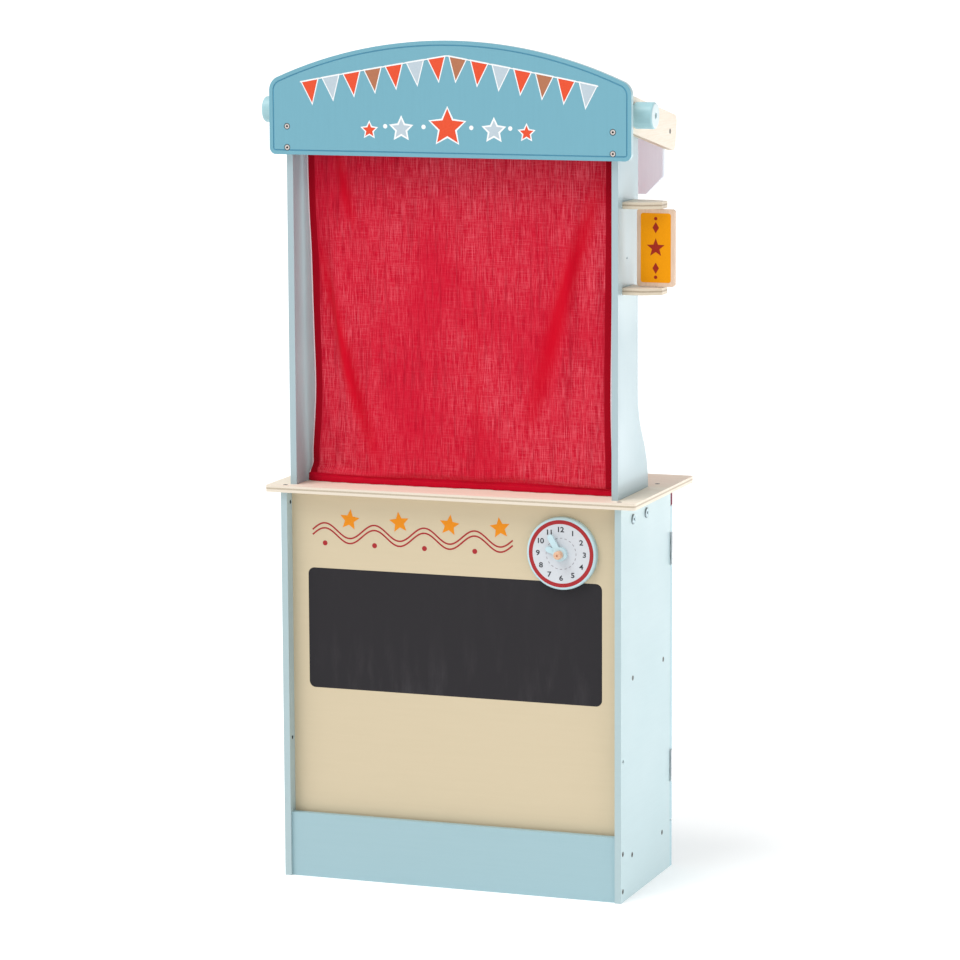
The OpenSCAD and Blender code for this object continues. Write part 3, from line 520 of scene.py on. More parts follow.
# %% [markdown]
# All printed shapes get their thickness from the same step: the flat shape is laid on the board, sunk into
# it by a hair so that no gap shows under it, and extruded outwards. The shapes of one colour are then joined
# into one piece that rides on the board's body.

# %% Film of ink
FILM, SUNK = 0.12, 0.03


def select_only(*objs):
    bpy.ops.object.select_all(action="DESELECT")
    for o in objs:
        o.select_set(True)
    bpy.context.view_layer.objects.active = objs[0]


def film(o, y, back=False):
    """Gives a flat shape its film thickness, with its lower side just inside the board at y."""
    sign = 1 if back else -1
    select_only(o)
    for v in o.data.vertices:
        v.co.y = (y - OFF_Y) * MM - sign * SUNK * MM
    bpy.ops.object.mode_set(mode="EDIT")
    bpy.ops.mesh.select_all(action="SELECT")
    bpy.ops.mesh.extrude_region_move(TRANSFORM_OT_translate={"value": (0, sign * (FILM + SUNK) * MM, 0)})
    bpy.ops.mesh.select_all(action="SELECT")
    bpy.ops.mesh.normals_make_consistent(inside=False)
    bpy.ops.object.mode_set(mode="OBJECT")
    return o


def finish_print(name, objs, made, body):
    """Joins the shapes of one colour into one piece that rides on a body."""
    select_only(*objs)
    if len(objs) > 1:
        bpy.ops.object.join()
    o = bpy.context.object
    o.name = name
    o.data.materials.clear()
    o.data.materials.append(made)
    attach(o, body)
    return o


print("film of ink:", FILM, "mm")

# %% [markdown]
# Every printed shape but a numeral is one of two things: a filled outline, or a band that follows a line.
# Both start as a primitive whose points are moved onto the board. Stars, dots and diamonds are outlines
# whose corners lie on two circles in turn.

# %% Printed shapes
def outline(points, y, back=False):
    """A filled outline. points are (x, z) in millimetres."""
    bpy.ops.mesh.primitive_circle_add(vertices=len(points), radius=1, fill_type="NGON")
    o = bpy.context.object
    for v, (x, z) in zip(o.data.vertices, points):
        v.co = place(x, 0, z)
    return film(o, y, back)


def band(path, width, steps, y):
    """A band of ink along path(t), t from 0 to 1, which gives (x, z) in millimetres."""
    bpy.ops.mesh.primitive_grid_add(x_subdivisions=steps, y_subdivisions=1, size=2)
    o = bpy.context.object
    for v in o.data.vertices:
        t, side = (v.co.x + 1) / 2, v.co.y
        x0, z0 = path(max(t - 0.001, 0))
        x1, z1 = path(min(t + 0.001, 1))
        long = math.hypot(x1 - x0, z1 - z0)
        x, z = path(t)
        v.co = place(x - (z1 - z0) / long * side * width / 2, 0, z + (x1 - x0) / long * side * width / 2)
    return film(o, y)


def star(x, z, r, inner, points=5, turn=0.0):
    """The corners of a star whose first tip points up. inner is the share of r that its hollows reach."""
    corners = []
    for i in range(points * 2):
        a = math.pi * i / points + turn
        k = r if i % 2 == 0 else r * inner
        corners.append((x + k * math.sin(a), z + k * math.cos(a)))
    return corners


print("corners of a star:", len(star(0, 0, 1, 0.5)))

# %% [markdown]
# The dial carries a white field, a red ring, twelve numerals and a circle of dashes for the hour hand. The
# numerals are text turned into mesh and stand upright, each centred on its own hour. They are made a little
# bolder and wider than the plain typeface. The peg's face has a tan spot.

# %% Clock face
CLOCK_X, CLOCK_Z, DIAL_Y = 158.0, 474.0, 8.5
FIELD_R, RING_R, RING_WIDTH, NUMERAL_R, DASH_R, SPOT_R = 45.0, 43.2, 5.3, 33.0, 21.2, 1.4
DASHES, NUMERAL_SIZE, BOLDER, WIDER = 20, 9.8, 0.22, 1.15


def ring_point(r, start=0.0, sweep=2 * math.pi):
    return lambda t: (CLOCK_X + r * math.sin(start + sweep * t), CLOCK_Z + r * math.cos(start + sweep * t))


field = outline([ring_point(FIELD_R)(i / 96) for i in range(96)], DIAL_Y)
finish_print("clock_field", [field], ink_dial, "theatre")
ring = band(ring_point(RING_R), RING_WIDTH, 128, DIAL_Y - FILM)
finish_print("clock_ring", [ring], ink_red, "theatre")
marks, dashes = [], []
for i in range(DASHES):
    start = 2 * math.pi * i / DASHES
    dashes.append(band(ring_point(DASH_R, start - 0.08, 0.16), 0.85, 4, DIAL_Y - FILM))
finish_print("clock_dashes", dashes, ink_dash, "theatre")
for hour in range(1, 13):
    bpy.ops.object.text_add(location=(0, 0, 0), rotation=(math.pi / 2, 0, 0))
    text = bpy.context.object
    text.data.body = str(hour)
    text.data.size = NUMERAL_SIZE * MM
    text.data.align_x, text.data.align_y = "CENTER", "CENTER"
    text.data.offset = BOLDER * MM
    text.data.space_character = 0.92
    text.data.resolution_u = 4
    select_only(text)
    bpy.ops.object.convert(target="MESH")
    text = bpy.context.object
    x, z = ring_point(NUMERAL_R)(hour / 12)
    text.location = place(x, 0, z)
    bpy.ops.object.transform_apply(location=True, rotation=True, scale=True)
    middle = sum((Vector(c) for c in text.bound_box), Vector()) / 8
    for v in text.data.vertices:
        v.co.x = place(x, 0, z).x + (v.co.x - middle.x) * WIDER
        v.co.z += place(x, 0, z).z - middle.z
    marks.append(film(text, DIAL_Y - FILM))
finish_print("clock_marks", marks, ink_numeral, "theatre")
peg_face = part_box("clock_peg")[0].y / MM + OFF_Y
eighth = math.pi / 8
disc = [(CLOCK_X + SPOT_R * math.cos(a * eighth), CLOCK_Z + SPOT_R * math.sin(a * eighth)) for a in range(16)]
finish_print("peg_centre", [outline(disc, peg_face)], ink_tan, "theatre")
print("clock face printed, peg face at", round(peg_face, 2))

# %% [markdown]
# The header gets a festive garland: two swags of string with pennants under the arch, and a row of stars
# below them. Each coloured shape lies on a slightly larger white one, which leaves a white border.

# %% Header print
ARCH_R, STRING_TOP, STRING_REACH, SAG = 616.5, 1138, 212, 9.0
PENNANTS, PENNANT_REACH, STARS_Z = 14, 198, 1043


def string_z(x):
    """Height of the garland's string: it follows the arch and sags in two swags."""
    arch = math.sqrt(ARCH_R**2 - x * x) - ARCH_R
    swag = 1 - (2 * abs(x) / STRING_REACH - 1) ** 2
    return STRING_TOP + arch - SAG * swag


def string(t):
    x = -STRING_REACH + 2 * STRING_REACH * t
    return x, string_z(x)


def pennant(x, grow):
    """The corners of a pennant that hangs square to the string at x. grow makes it larger all round."""
    lean = (string_z(x + 4) - string_z(x - 4)) / 8
    top = string_z(x)
    half, drop, rise = 11.5 + grow, 30 + grow * 1.9, grow * 0.6
    return [
        (x - half, top - half * lean + rise),
        (x + lean * drop * 0.6, top - drop),
        (x + half, top + half * lean + rise),
    ]


white, red, grey, tan = [], [], [], []
white.append(band(string, 1.6, 96, HEADER_Y - 2 * FILM))
for i in range(PENNANTS):
    x = -PENNANT_REACH + i * 2 * PENNANT_REACH / (PENNANTS - 1)
    white.append(outline(pennant(x, 2.0), HEADER_Y))
    (red, grey, red, tan)[i % 4].append(outline(pennant(x, 0.0), HEADER_Y - FILM))
for x, r, colour, shrink in (
    (0, 25, red, 0), (-66, 15, grey, 1.2), (66, 15, grey, 1.2), (-112, 10, red, 0), (112, 10, red, 0)
):
    z = STARS_Z - abs(x) * 0.05
    white.append(outline(star(x, z, r + 3.4, 0.5), HEADER_Y))
    colour.append(outline(star(x, z, r - shrink, 0.46), HEADER_Y - FILM))
for x in (-34, 34, -89, 89):
    white.append(outline(star(x, STARS_Z, 3.2, 0.9, 12), HEADER_Y))
finish_print("header_white", white, ink_white, "theatre")
finish_print("header_red", red, ink_orange_red, "theatre")
finish_print("header_grey", grey, ink_grey, "theatre")
finish_print("header_tan", tan, ink_tan, "theatre")
print("header print:", PENNANTS, "pennants and 5 stars")

# %% [markdown]
# The front panel has a paper-chain feeling: two thin red waves run side by side towards the clock, with
# orange stars in the hollows and small red dots under the crests.

# %% Front panel print
PANEL_Y = 17.5
WAVE_X, WAVE_LONG, WAVE_Z, WAVE_HIGH, WAVES = -206, 292, 487, 10.0, 4


def wave(shift):
    return lambda t: (
        WAVE_X + WAVE_LONG * t,
        WAVE_Z + shift + WAVE_HIGH * math.sin(2 * WAVES * math.pi * t),
    )


lines = [band(wave(0.0), 2.2, 160, PANEL_Y), band(wave(-7.0), 2.2, 160, PANEL_Y)]
stars = []
for k in range(WAVES):
    hollow = WAVE_X + WAVE_LONG * (k + 0.75) / WAVES
    stars.append(outline(star(hollow, WAVE_Z + 16, 15.0, 0.46, 5, 0.12 * (-1) ** k), PANEL_Y))
    crest = WAVE_X + WAVE_LONG * (k + 0.25) / WAVES
    lines.append(outline(star(crest, WAVE_Z - 18, 3.6, 0.98, 12), PANEL_Y))
finish_print("panel_red", lines, ink_red, "theatre")
finish_print("panel_orange", stars, ink_orange, "theatre")
print("panel print:", WAVES, "waves")

# %% [markdown]
# The sign has an orange field on both sides, with the bare wood left as a border, and a dark red star
# between two diamonds and two dots. The field's corners are rounded by three and a half millimetres.

# %% Sign print
SIGN_X, SIGN_Z, SIGN_Y, SIGN_HALF = 276.0, 885.0, 57.0, 3.0


def rounded(x, z, w, h, r):
    """The outline of a rectangle with round corners, six steps to a corner."""
    points = []
    for cx, cz, a in ((1, 1, 0), (-1, 1, 1), (-1, -1, 2), (1, -1, 3)):
        for i in range(7):
            t = (a + i / 6) * math.pi / 2
            points.append((x + cx * (w / 2 - r) + r * math.cos(t), z + cz * (h / 2 - r) + r * math.sin(t)))
    return points


fields, figures = [], []
for back, out in ((False, -1), (True, 1)):
    y = SIGN_Y + out * SIGN_HALF
    over = y + out * FILM
    fields.append(outline(rounded(SIGN_X, SIGN_Z, 42.0, 92.5, 3.5), y, back))
    figures.append(outline(star(SIGN_X, SIGN_Z, 13.0, 0.42), over, back))
    for up in (1, -1):
        figures.append(outline(star(SIGN_X, SIGN_Z + up * 27, 7.5, 0.6, 2), over, back))
        figures.append(outline(star(SIGN_X, SIGN_Z + up * 39, 2.4, 0.98, 12), over, back))
finish_print("sign_field", fields, ink_sign, "swivel_sign")
finish_print("sign_figures", figures, ink_dark_red, "swivel_sign")
print("sign print:", len(figures), "figures")

# %% [markdown]
# The curtain is thin slub cotton, dyed red. Its threads are uneven: lighter slubs a millimetre wide run down the
# warp for three centimetres, and fainter ones cross them along the weft. They gather in patches as large as a
# hand, where the thicker yarn was woven in. Along the creases the colour is painted a deeper, even red, as
# painted shade of the cloth lying double there, which lets less of the light behind it through. The threads
# themselves are only half a millimetre apart, so they go into the bump. All of it reads the cloth's own UV map,
# in metres. Along both sides and at the foot the cloth is folded over, and there it is painted darker and more
# even, as painted shade of the doubled cloth. The outermost two millimetres at the sides are the selvedge, whose
# raw threads took hardly any dye.

# %% Slub cotton
CLOTH_W, CLOTH_CUT, SELVEDGE = 442.0, 507.0, 2.0
HALF_CLOTH = CLOTH_W / 2
cotton, tree, bsdf, _ = shader("red slub cotton", 0.85)
spot = add(tree, "UVMap", {}, uv_map="cloth")
warp = stretched(tree, spot, (900, 34, 1), 4.0, 0.72)
weft = stretched(tree, spot, (38, 850, 1), 4.0, 0.72)
broad = stretched(tree, spot, (180, 10, 1), 3.0, 0.6)
patch = stretched(tree, spot, (7, 5.5, 1), 3.0, 0.5)
patch = add(tree, "MapRange", {0: patch, 1: 0.36, 2: 0.6, 3: 0.25, 4: 1.0})
slubs = add(tree, "MapRange", {0: warp, 1: 0.47, 2: 0.75})
slubs = add(tree, "Math", {0: slubs, 1: patch}, operation="MULTIPLY")
cross = add(tree, "MapRange", {0: weft, 1: 0.48, 2: 0.8})
cross = add(tree, "Math", {0: cross, 1: patch}, operation="MULTIPLY")
# Along the creases the colour turns a deeper, even red: painted shade of the doubled cloth.
creased = add(tree, "Attribute", {}, "Fac", attribute_name="creased")
tint = "c4082a"
for value, low, high, most, dye in (
    (slubs, 0.0, 1.0, 0.84, "f27884"),
    (cross, 0.0, 1.0, 0.56, "f27884"),
    (warp, 0.46, 0.3, 0.8, "980820"),
    (broad, 0.5, 0.3, 0.45, "980820"),
    (creased, 0.1, 0.9, 0.96, "c4001f"),
):
    share = add(tree, "MapRange", {0: value, 1: low, 2: high, 4: most})
    tint = add(tree, "Mix", {0: share, 6: tint, 7: dye}, **RGBA)

# The folded sides and foot, and the selvedge, are found by their distance from the cloth's edges.
side = add(tree, "Math", {0: add(tree, "SeparateXYZ", {0: spot})}, operation="ABSOLUTE")
down = add(tree, "SeparateXYZ", {0: spot}, 1)
above_foot = add(tree, "MapRange", {0: down, 1: -(CLOTH_CUT - 2.8) * MM, 2: -(CLOTH_CUT - 3.2) * MM})
inside = add(tree, "MapRange", {0: side, 1: (HALF_CLOTH - 11.2) * MM, 2: (HALF_CLOTH - 11.8) * MM})
inside = add(tree, "Math", {0: inside, 1: above_foot}, operation="MULTIPLY")
# Painted shade: the folded sides are darker, and the foot is a more even red.
tint = add(tree, "Mix", {0: inside, 6: "9c0018", 7: tint}, **RGBA)
tint = add(tree, "Mix", {0: above_foot, 6: "c00426", 7: tint}, **RGBA)
raw = add(tree, "MapRange", {0: side, 1: (HALF_CLOTH - SELVEDGE - 0.3) * MM, 2: (HALF_CLOTH - SELVEDGE) * MM})
raw = add(tree, "Math", {0: raw, 1: above_foot}, operation="MULTIPLY")
tree.links.new(add(tree, "Mix", {0: raw, 6: tint, 7: "f4dade"}, **RGBA), bsdf.inputs["Base Color"])

threads = []
for axis, pitch in ((0, 0.55), (1, 0.6)):
    per_metre = 1 / (pitch * MM)
    wide = add(tree, "VectorMath", {0: spot, 1: (per_metre, per_metre, 1)}, operation="MULTIPLY")
    wide = add(tree, "SeparateXYZ", {0: wide}, axis)
    threads.append(add(tree, "Math", {0: wide, 1: 0.5}, operation="PINGPONG"))
weave = add(tree, "Math", {0: threads[0], 1: threads[1]}, operation="ADD")
felt = add(tree, "Bump", {"Height": weave, "Distance": 0.12 * MM, "Strength": 0.5})
felt = add(tree, "Bump", {"Height": warp, "Distance": 0.2 * MM, "Strength": 0.6, "Normal": felt})
tree.links.new(felt, bsdf.inputs["Normal"])
bsdf.inputs["Sheen Weight"].default_value = 0.03
bsdf.inputs["Sheen Roughness"].default_value = 0.5
bsdf.inputs["Specular IOR Level"].default_value = 0.08
thread = ink("red sewing thread", "d2303c", "b01c28", 0.7)
print("cotton:", len(tree.nodes), "nodes")

# %% [markdown]
# The curtain is cut 442 mm wide and 507 mm long between the roller and the hem, which is a few
# millimetres more than the drop. It starts bent into place, with the flat cut as its rest shape. Its upper
# row is held by the roller, its lower row by the hem, and the cloth solver settles what lies between. Both
# sides are pulled in a little below the middle, and four creases run down the cloth.

# %% Shape of the hanging cloth
DROP_TOP, DROP_LOW, CLOTH_Y = 1060.0, 558.5, 46.3

# Each crease has its start and end as (u, v), its width as a share of half the cloth, and its height in
# millimetres.
CREASES = [
    ((-0.98, 0.30), (-0.50, 1.0), 0.07, 13.0),
    ((-0.80, 0.04), (-0.66, 0.34), 0.045, 6.0),
    ((0.97, 0.10), (0.42, 0.90), 0.085, 10.0),
    ((0.10, 0.45), (0.16, 0.98), 0.08, 3.0),
]


def hem_line(u):
    """Where the lower row goes, in (x, y) millimetres. u runs from -1 to 1 across the cloth."""
    corner = max(0.0, -u - 0.9) / 0.1
    x = HALF_CLOTH * u + 1.5 * math.sin(2.1 * u + 0.6) - 2.5 * corner**2
    y = CLOTH_Y + 1.2 * math.sin(5.2 * u + 0.8) + 0.7 * math.sin(11.0 * u) + 5.0 * corner**2
    return x, y


def crease(u, v, start, end, width):
    """How high a ridge is, from 0 to 1. It runs from start to end, both (u, v), and dies away at both."""
    t = (v - start[1]) / (end[1] - start[1])
    if not 0 < t < 1:
        return 0.0
    off = u - (start[0] + (end[0] - start[0]) * t) + 0.03 * math.sin(math.pi * t)
    return math.exp(-((off / width) ** 2)) * math.sin(math.pi * t) ** 0.8


def hung(u, v):
    """The cloth bent into place. v runs from 0 at the roller to 1 at the hem."""
    x_low, y_low = hem_line(u)
    z = DROP_TOP + (DROP_LOW - DROP_TOP) * v
    left = math.exp(-(((u + 1) / 0.3) ** 2))
    right = math.exp(-(((u - 1) / 0.2) ** 2))
    pull = math.exp(-(((v - 0.78) / 0.2) ** 2)) + 0.45 * math.exp(-(((v - 0.5) / 0.18) ** 2))
    pull *= 1 - v**8
    x = HALF_CLOTH * u * (1 - v**3) + x_low * v**3 + left * 10.5 * pull - right * 3.5 * pull
    fold = 2.0 * math.sin(8.0 * u + 1.2 + 2.2 * v) + 1.0 * math.sin(17.0 * u - 1.5 * v)
    y = CLOTH_Y * (1 - v) + y_low * v + fold * math.sin(math.pi * v) ** 0.8
    for start, end, width, height in CREASES:
        y -= height * crease(u, v, start, end, width)
    return x, y, z


print("drop:", DROP_TOP - DROP_LOW, "mm, cut", CLOTH_CUT, "mm")

# %% [markdown]
# The sheet is a grid with its UV map in metres of cloth. After the solver has run for thirty frames its result
# becomes the mesh, and no point may leave the room between the header and the rod. The colour reads where the
# creases are from an attribute of the mesh, and paints shade along them.

# %% Hanging cloth
COLUMNS, ROWS, SETTLE_FRAMES = 96, 104, 30
bpy.ops.mesh.primitive_grid_add(x_subdivisions=COLUMNS, y_subdivisions=ROWS, size=2)
curtain = bpy.context.object
curtain.name = "curtain_cloth"
where = [(v.co.x, (1 - v.co.y) / 2) for v in curtain.data.vertices]
curtain.data.uv_layers[0].name = "cloth"
for loop, spot in zip(curtain.data.loops, curtain.data.uv_layers[0].data):
    u, v = where[loop.vertex_index]
    spot.uv = (u * HALF_CLOTH * MM, -v * CLOTH_CUT * MM)
for vert, (u, v) in zip(curtain.data.vertices, where):
    vert.co = place(*hung(u, v))
curtain.shape_key_add(name="Basis")
flat = curtain.shape_key_add(name="cut")
for point, (u, v) in zip(flat.data, where):
    point.co = place(u * HALF_CLOTH, CLOTH_Y, DROP_TOP - v * CLOTH_CUT)
held = curtain.vertex_groups.new(name="held")
held.add([i for i, (u, v) in enumerate(where) if v < 0.5 / ROWS or v > 1 - 0.5 / ROWS], 1.0, "REPLACE")
cloth = curtain.modifiers.new("cloth", "CLOTH")
cloth.settings.quality = 8
cloth.settings.mass = 0.12
cloth.settings.tension_stiffness = cloth.settings.compression_stiffness = 12
cloth.settings.shear_stiffness = 4
cloth.settings.bending_stiffness = 0.6
cloth.settings.air_damping = 2.0
cloth.settings.vertex_group_mass = "held"
cloth.settings.rest_shape_key = flat
for frame_number in range(1, SETTLE_FRAMES + 1):
    scene.frame_set(frame_number)
deps = bpy.context.evaluated_depsgraph_get()
settled = [v.co.copy() for v in curtain.evaluated_get(deps).data.vertices]
curtain.modifiers.remove(cloth)
scene.frame_set(1)
curtain.shape_key_clear()
nearest, farthest = place(0, 36.5, 0).y, place(0, 58, 0).y
for vert, spot in zip(curtain.data.vertices, settled):
    vert.co = (spot.x, min(max(spot.y, nearest), farthest), spot.z)
creased = curtain.data.attributes.new("creased", "FLOAT", "POINT")
for value, (u, v) in zip(creased.data, where):
    value.value = max(crease(u, v, c[0], c[1], c[2] * 0.8) * min(1.0, c[3] / 7) for c in CREASES)
flag(curtain)
print("cloth settled between y", round(min(s.y for s in settled), 4), round(max(s.y for s in settled), 4))

# %% [markdown]
# Along both sides the cloth is folded over by twelve millimetres and stitched, so it is nearly three times as
# thick there. The sheet itself is half a millimetre thick. One subdivision gives it a smooth surface.

# %% Thickness and side hems
SIDE_HEM, HEM_THICK, THIN_SHARE = 12.0, 1.4, 0.35
select_only(curtain)
thick = curtain.vertex_groups.new(name="thick")
for i, (u, v) in enumerate(where):
    edge = (1 - abs(u)) * HALF_CLOTH
    thick.add([i], 1.0 if edge < SIDE_HEM else THIN_SHARE, "REPLACE")
solid = curtain.modifiers.new("solid", "SOLIDIFY")
solid.thickness = HEM_THICK * MM
solid.offset = 0
solid.vertex_group = "thick"
solid.thickness_vertex_group = 0.0
smooth = curtain.modifiers.new("smooth", "SUBSURF")
smooth.levels = smooth.render_levels = 1
for name in ("solid", "smooth"):
    bpy.ops.object.modifier_apply(modifier=name)
bpy.ops.object.shade_smooth()
curtain.data.materials.append(cotton)
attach(curtain, "theatre")
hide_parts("curtain")
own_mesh(curtain)
print("curtain:", len(curtain.data.polygons), "faces")

# %% [markdown]
# The foot of the curtain is folded twice: the cloth runs down the front, turns up behind, and its raw edge
# is tucked in between. The middle line of that fold is a list of points, which a grid carries along the
# lower row of the cloth. The sheet then gets its thickness, and the layers stay apart by a hair. Its UV map
# goes on below the hanging cloth's, by two millimetres from one point of the fold to the next.

# %% Hem
FOLD = [(0.0, 559.6), (-0.12, 558.5), (-0.4, 557.0), (-0.7, 554.8), (-0.8, 552.2), (-0.6, 550.4), (0.0, 549.7)]
FOLD += [(0.75, 550.3), (1.0, 552.0), (1.05, 555.5), (0.95, 557.6)]
FOLD += [(0.5, 558.4), (0.08, 557.6), (0.0, 555.5), (0.0, 552.0)]
SHEET_THICK, FOLD_STEP = 0.5, 2.0
bpy.ops.mesh.primitive_grid_add(x_subdivisions=150, y_subdivisions=len(FOLD) - 1, size=2)
hem = bpy.context.object
hem.name = "curtain_hem_cloth"
hem.data.uv_layers[0].name = "cloth"
hem_where = [(v.co.x, int(round((v.co.y + 1) / 2 * (len(FOLD) - 1)))) for v in hem.data.vertices]
for loop, spot in zip(hem.data.loops, hem.data.uv_layers[0].data):
    u, j = hem_where[loop.vertex_index]
    spot.uv = (u * HALF_CLOTH * MM, -CLOTH_CUT * MM - j * FOLD_STEP * MM)


def hem_ripple(u):
    """The small sideways waves that the seam puts into the hem, in millimetres."""
    return 0.25 * math.sin(70 * u) + 0.2 * math.sin(41 * u + 1)


for vert, (u, j) in zip(hem.data.vertices, hem_where):
    x, y = hem_line(u)
    dy, z = FOLD[j]
    vert.co = place(x, y + dy + hem_ripple(u), z + 0.2 * math.sin(47 * u))
select_only(hem)
solid = hem.modifiers.new("solid", "SOLIDIFY")
solid.thickness, solid.offset = SHEET_THICK * MM, 0
bpy.ops.object.modifier_apply(modifier="solid")
bpy.ops.object.shade_smooth()
hem.data.materials.append(cotton)
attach(hem, "curtain_foot")
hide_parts("curtain_hem")

# %% [markdown]
# A row of lockstitches holds the hem. One stitch is 2.4 mm long, at a pitch of 2.8 mm. It is a bent
# six-sided tube whose two ends are thinner and dip into the cloth, modelled once and then copied on both
# faces along the hem. All copies are joined into one piece, because they move with the hem.

# %% Hem stitches
STITCH_Z, PITCH, STITCH_LONG, THREAD_R, SEAM_END = 556.0, 2.8, 2.4, 0.26, 5
THINNER, DIP = 0.6, 0.25
bpy.ops.mesh.primitive_cylinder_add(
    vertices=6, radius=THREAD_R * MM, depth=STITCH_LONG * MM, rotation=(0, math.pi / 2, 0)
)
first = bpy.context.object
bpy.ops.object.transform_apply(location=True, rotation=True, scale=True)
bpy.ops.object.mode_set(mode="EDIT")
bpy.ops.mesh.select_all(action="SELECT")
bpy.ops.mesh.bisect(plane_co=(0, 0, 0), plane_no=(1, 0, 0))
bpy.ops.object.mode_set(mode="OBJECT")
for v in first.data.vertices:
    if abs(v.co.x) > 0.5 * MM:
        v.co.y *= THINNER
        v.co.z *= THINNER
        v.co.y += DIP * MM
stitches = []
for k in range(int((CLOTH_W - 2 * SEAM_END) / PITCH)):
    u = (-HALF_CLOTH + SEAM_END + (k + 0.5) * PITCH) / HALF_CLOTH
    x, y = hem_line(u)
    for out, turned in ((-0.82, 0), (1.1, math.pi)):
        one = first.copy()
        one.data = first.data.copy()
        scene.collection.objects.link(one)
        at = place(x, y + hem_ripple(u) + out, STITCH_Z)
        one.data.transform(Matrix.Translation(at) @ Matrix.Rotation(turned, 4, "Z"))
        stitches.append(one)
bpy.data.objects.remove(first)
seam = finish_print("hem_stitches", stitches, thread, "curtain_foot")
print("stitches:", len(stitches))

# %% [markdown]
# Behind the header the rest of the cloth is wound around the rod. The sheet is a true spiral of two turns
# that starts on the rod and leaves the roll at the front, where the hanging cloth takes over. Each turn
# has slipped sideways by a hair, as it does when a child winds it. It turns with the rod. Its UV map leaves
# out the outermost millimetres of the cloth, so that no pale selvedge shows on the roll.

# %% Cloth on the roller
ROD_Z, ROD_Y, TURNS, LEFT_OUT = 1060.0, 57.0, 2, 9.5
ROD_R = (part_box("curtain_rod")[1].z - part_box("curtain_rod")[0].z) / 2 / MM
ROLL_R = (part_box("curtain_roll")[1].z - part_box("curtain_roll")[0].z) / 2 / MM
LAYER = (ROLL_R - ROD_R - 0.1) / TURNS
bpy.ops.mesh.primitive_grid_add(x_subdivisions=40, y_subdivisions=TURNS * 48, size=2)
roll = bpy.context.object
roll.name = "curtain_roll_cloth"
roll.data.uv_layers[0].name = "cloth"
wound = [(v.co.x, (v.co.y + 1) / 2) for v in roll.data.vertices]


def spiral(t):
    """Radius in millimetres and angle of the sheet's middle, with t from the rod to the last turn."""
    return ROD_R + 0.05 + LAYER * (0.5 + (TURNS - 1) * t), math.pi - 2 * math.pi * TURNS * (1 - t)


WOUND_LENGTH = sum(2 * math.pi * TURNS / 200 * spiral((k + 0.5) / 200)[0] for k in range(200))
for loop, spot in zip(roll.data.loops, roll.data.uv_layers[0].data):
    u, t = wound[loop.vertex_index]
    spot.uv = (u * (HALF_CLOTH - LEFT_OUT) * MM, t * WOUND_LENGTH * MM)
for vert, (u, t) in zip(roll.data.vertices, wound):
    r, a = spiral(t)
    r += 0.25 * LAYER * math.sin(3.1 * u + 4 * t) * t
    slip = 0.8 * math.sin(9.0 * t) * abs(u) ** 6
    vert.co = place(u * HALF_CLOTH - slip, ROD_Y + r * math.cos(a), ROD_Z + r * math.sin(a))
select_only(roll)
solid = roll.modifiers.new("solid", "SOLIDIFY")
solid.thickness = LAYER * 0.62 * MM
solid.offset = 0
bpy.ops.object.modifier_apply(modifier="solid")
bpy.ops.object.shade_smooth()
roll.data.materials.append(cotton)
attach(roll, "curtain_roller")
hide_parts("curtain_roll")
print("roll:", TURNS, "turns, wound length", round(WOUND_LENGTH), "mm, layer", round(LAYER, 2), "mm")

# %% [markdown]
# Each board and fitting now gets its finish. The small steel parts are found by their names: most of the
# screws that go through painted boards are browned, and the rest are bright.

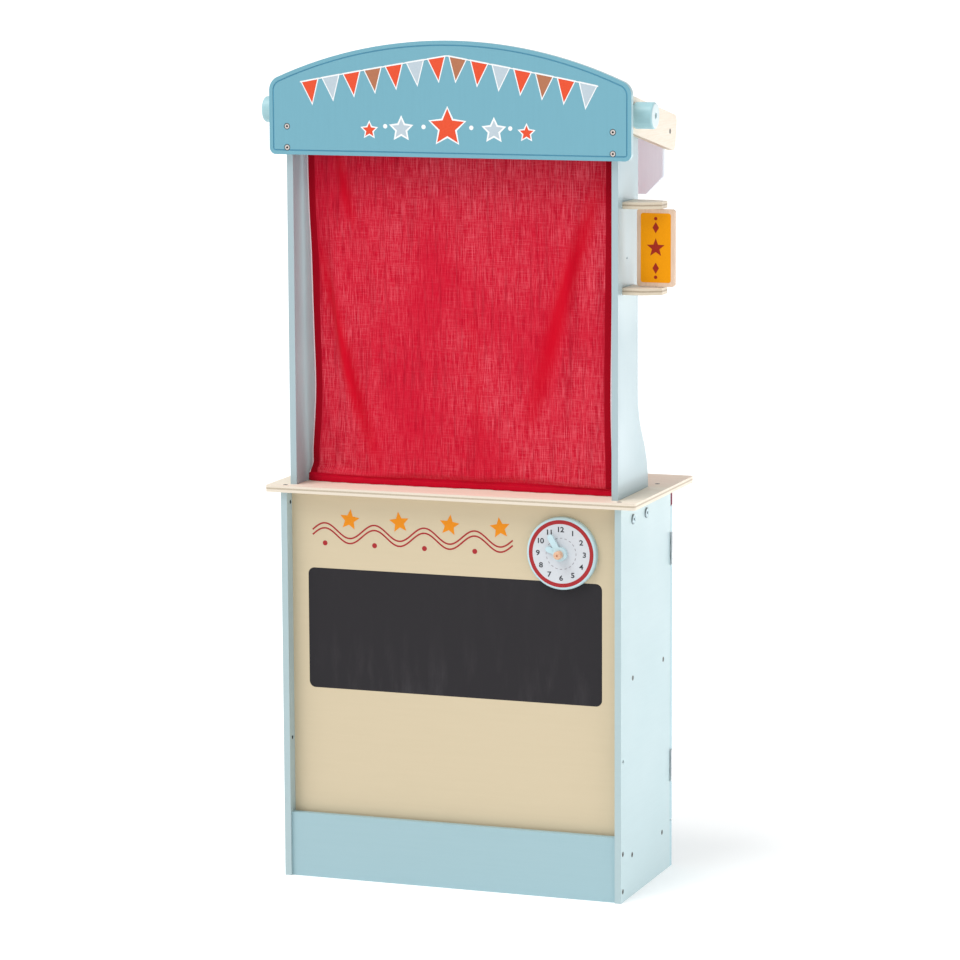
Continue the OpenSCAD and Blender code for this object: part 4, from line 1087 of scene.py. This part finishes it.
# %% Finishes on the boards
finish = {
    "side_panel_left": side_blue, "side_panel_right": side_blue, "front_panel": cream, "chalkboard": slate,
    "kick_board": pale_blue, "rear_plinth": pale_blue, "rear_rail": maroon,
    "post_left": post_blue, "post_right": post_blue, "header_board": header_blue, "rear_sign_board": lilac,
    "curtain_rod": beech_rod, "knob_left": knob_blue, "knob_right": knob_blue,
    "clock_dial": light_blue, "clock_peg": beech_peg, "hour_hand": light_blue, "minute_hand": light_blue,
    "door_left": pale_blue, "door_right": pale_blue, "door_knob_left": beech_peg, "door_knob_right": beech_peg,
    "magnet_catches": abs_white, "header_screws": socket_steel, "post_bolts": bolt_steel,
} | woods
DARK_SCREWS = ("side_screws", "counter_screws", "arm_screws", "rear_sign_screws", "bracket_screws")
for name in nodes:
    if name in DARK_SCREWS:
        finish[name] = dark_steel
    elif name.startswith("hinge_leaves") or name in ("post_nuts", "hinge_pins"):
        finish[name] = zinc
    elif name not in finish and ("screw" in name or name in ("sign_pins", "strike_left", "strike_right")):
        finish[name] = screw_steel
for name, made in finish.items():
    nodes[name].data.materials.clear()
    nodes[name].data.materials.append(made)
print("finished:", len(finish))

# %% [markdown]
# The boards arrive with knife-sharp edges, while a sanded and sprayed board is rounded by about a
# millimetre. Modifiers do that without touching the solids: the loose triangles are welded, flat areas
# are dissolved into single faces, the remaining edges get a bevel, and the shading is weighted by area.

# %% Rounded edges
def soften(name, width, segments=3):
    """Rounds the edges of one board by a width in millimetres."""
    o = nodes[name]
    weld = o.modifiers.new("weld", "WELD")
    weld.merge_threshold = 1e-6
    flat = o.modifiers.new("flat", "DECIMATE")
    flat.decimate_type = "DISSOLVE"
    flat.angle_limit = 0.02
    edge = o.modifiers.new("round", "BEVEL")
    edge.width, edge.segments = width * MM, segments
    edge.limit_method, edge.angle_limit = "ANGLE", 0.6
    shade = o.modifiers.new("shade", "WEIGHTED_NORMAL")
    shade.keep_sharp = False


widths = {"header_board": 0.85, "counter": 1.3}
boards = (
    "side_panel_left side_panel_right kick_board rear_plinth rear_rail counter post_left post_right header_board "
    "arm_left arm_right rear_sign_board sign_bracket_upper sign_bracket_lower sign_board door_left door_right"
).split()
for name in boards:
    soften(name, widths.get(name, 1.1))
thin = "hour_hand minute_hand bottom_shelf middle_shelf".split()
for name in thin:
    soften(name, 0.5, 2)
print("boards with round edges:", len(boards) + len(thin))
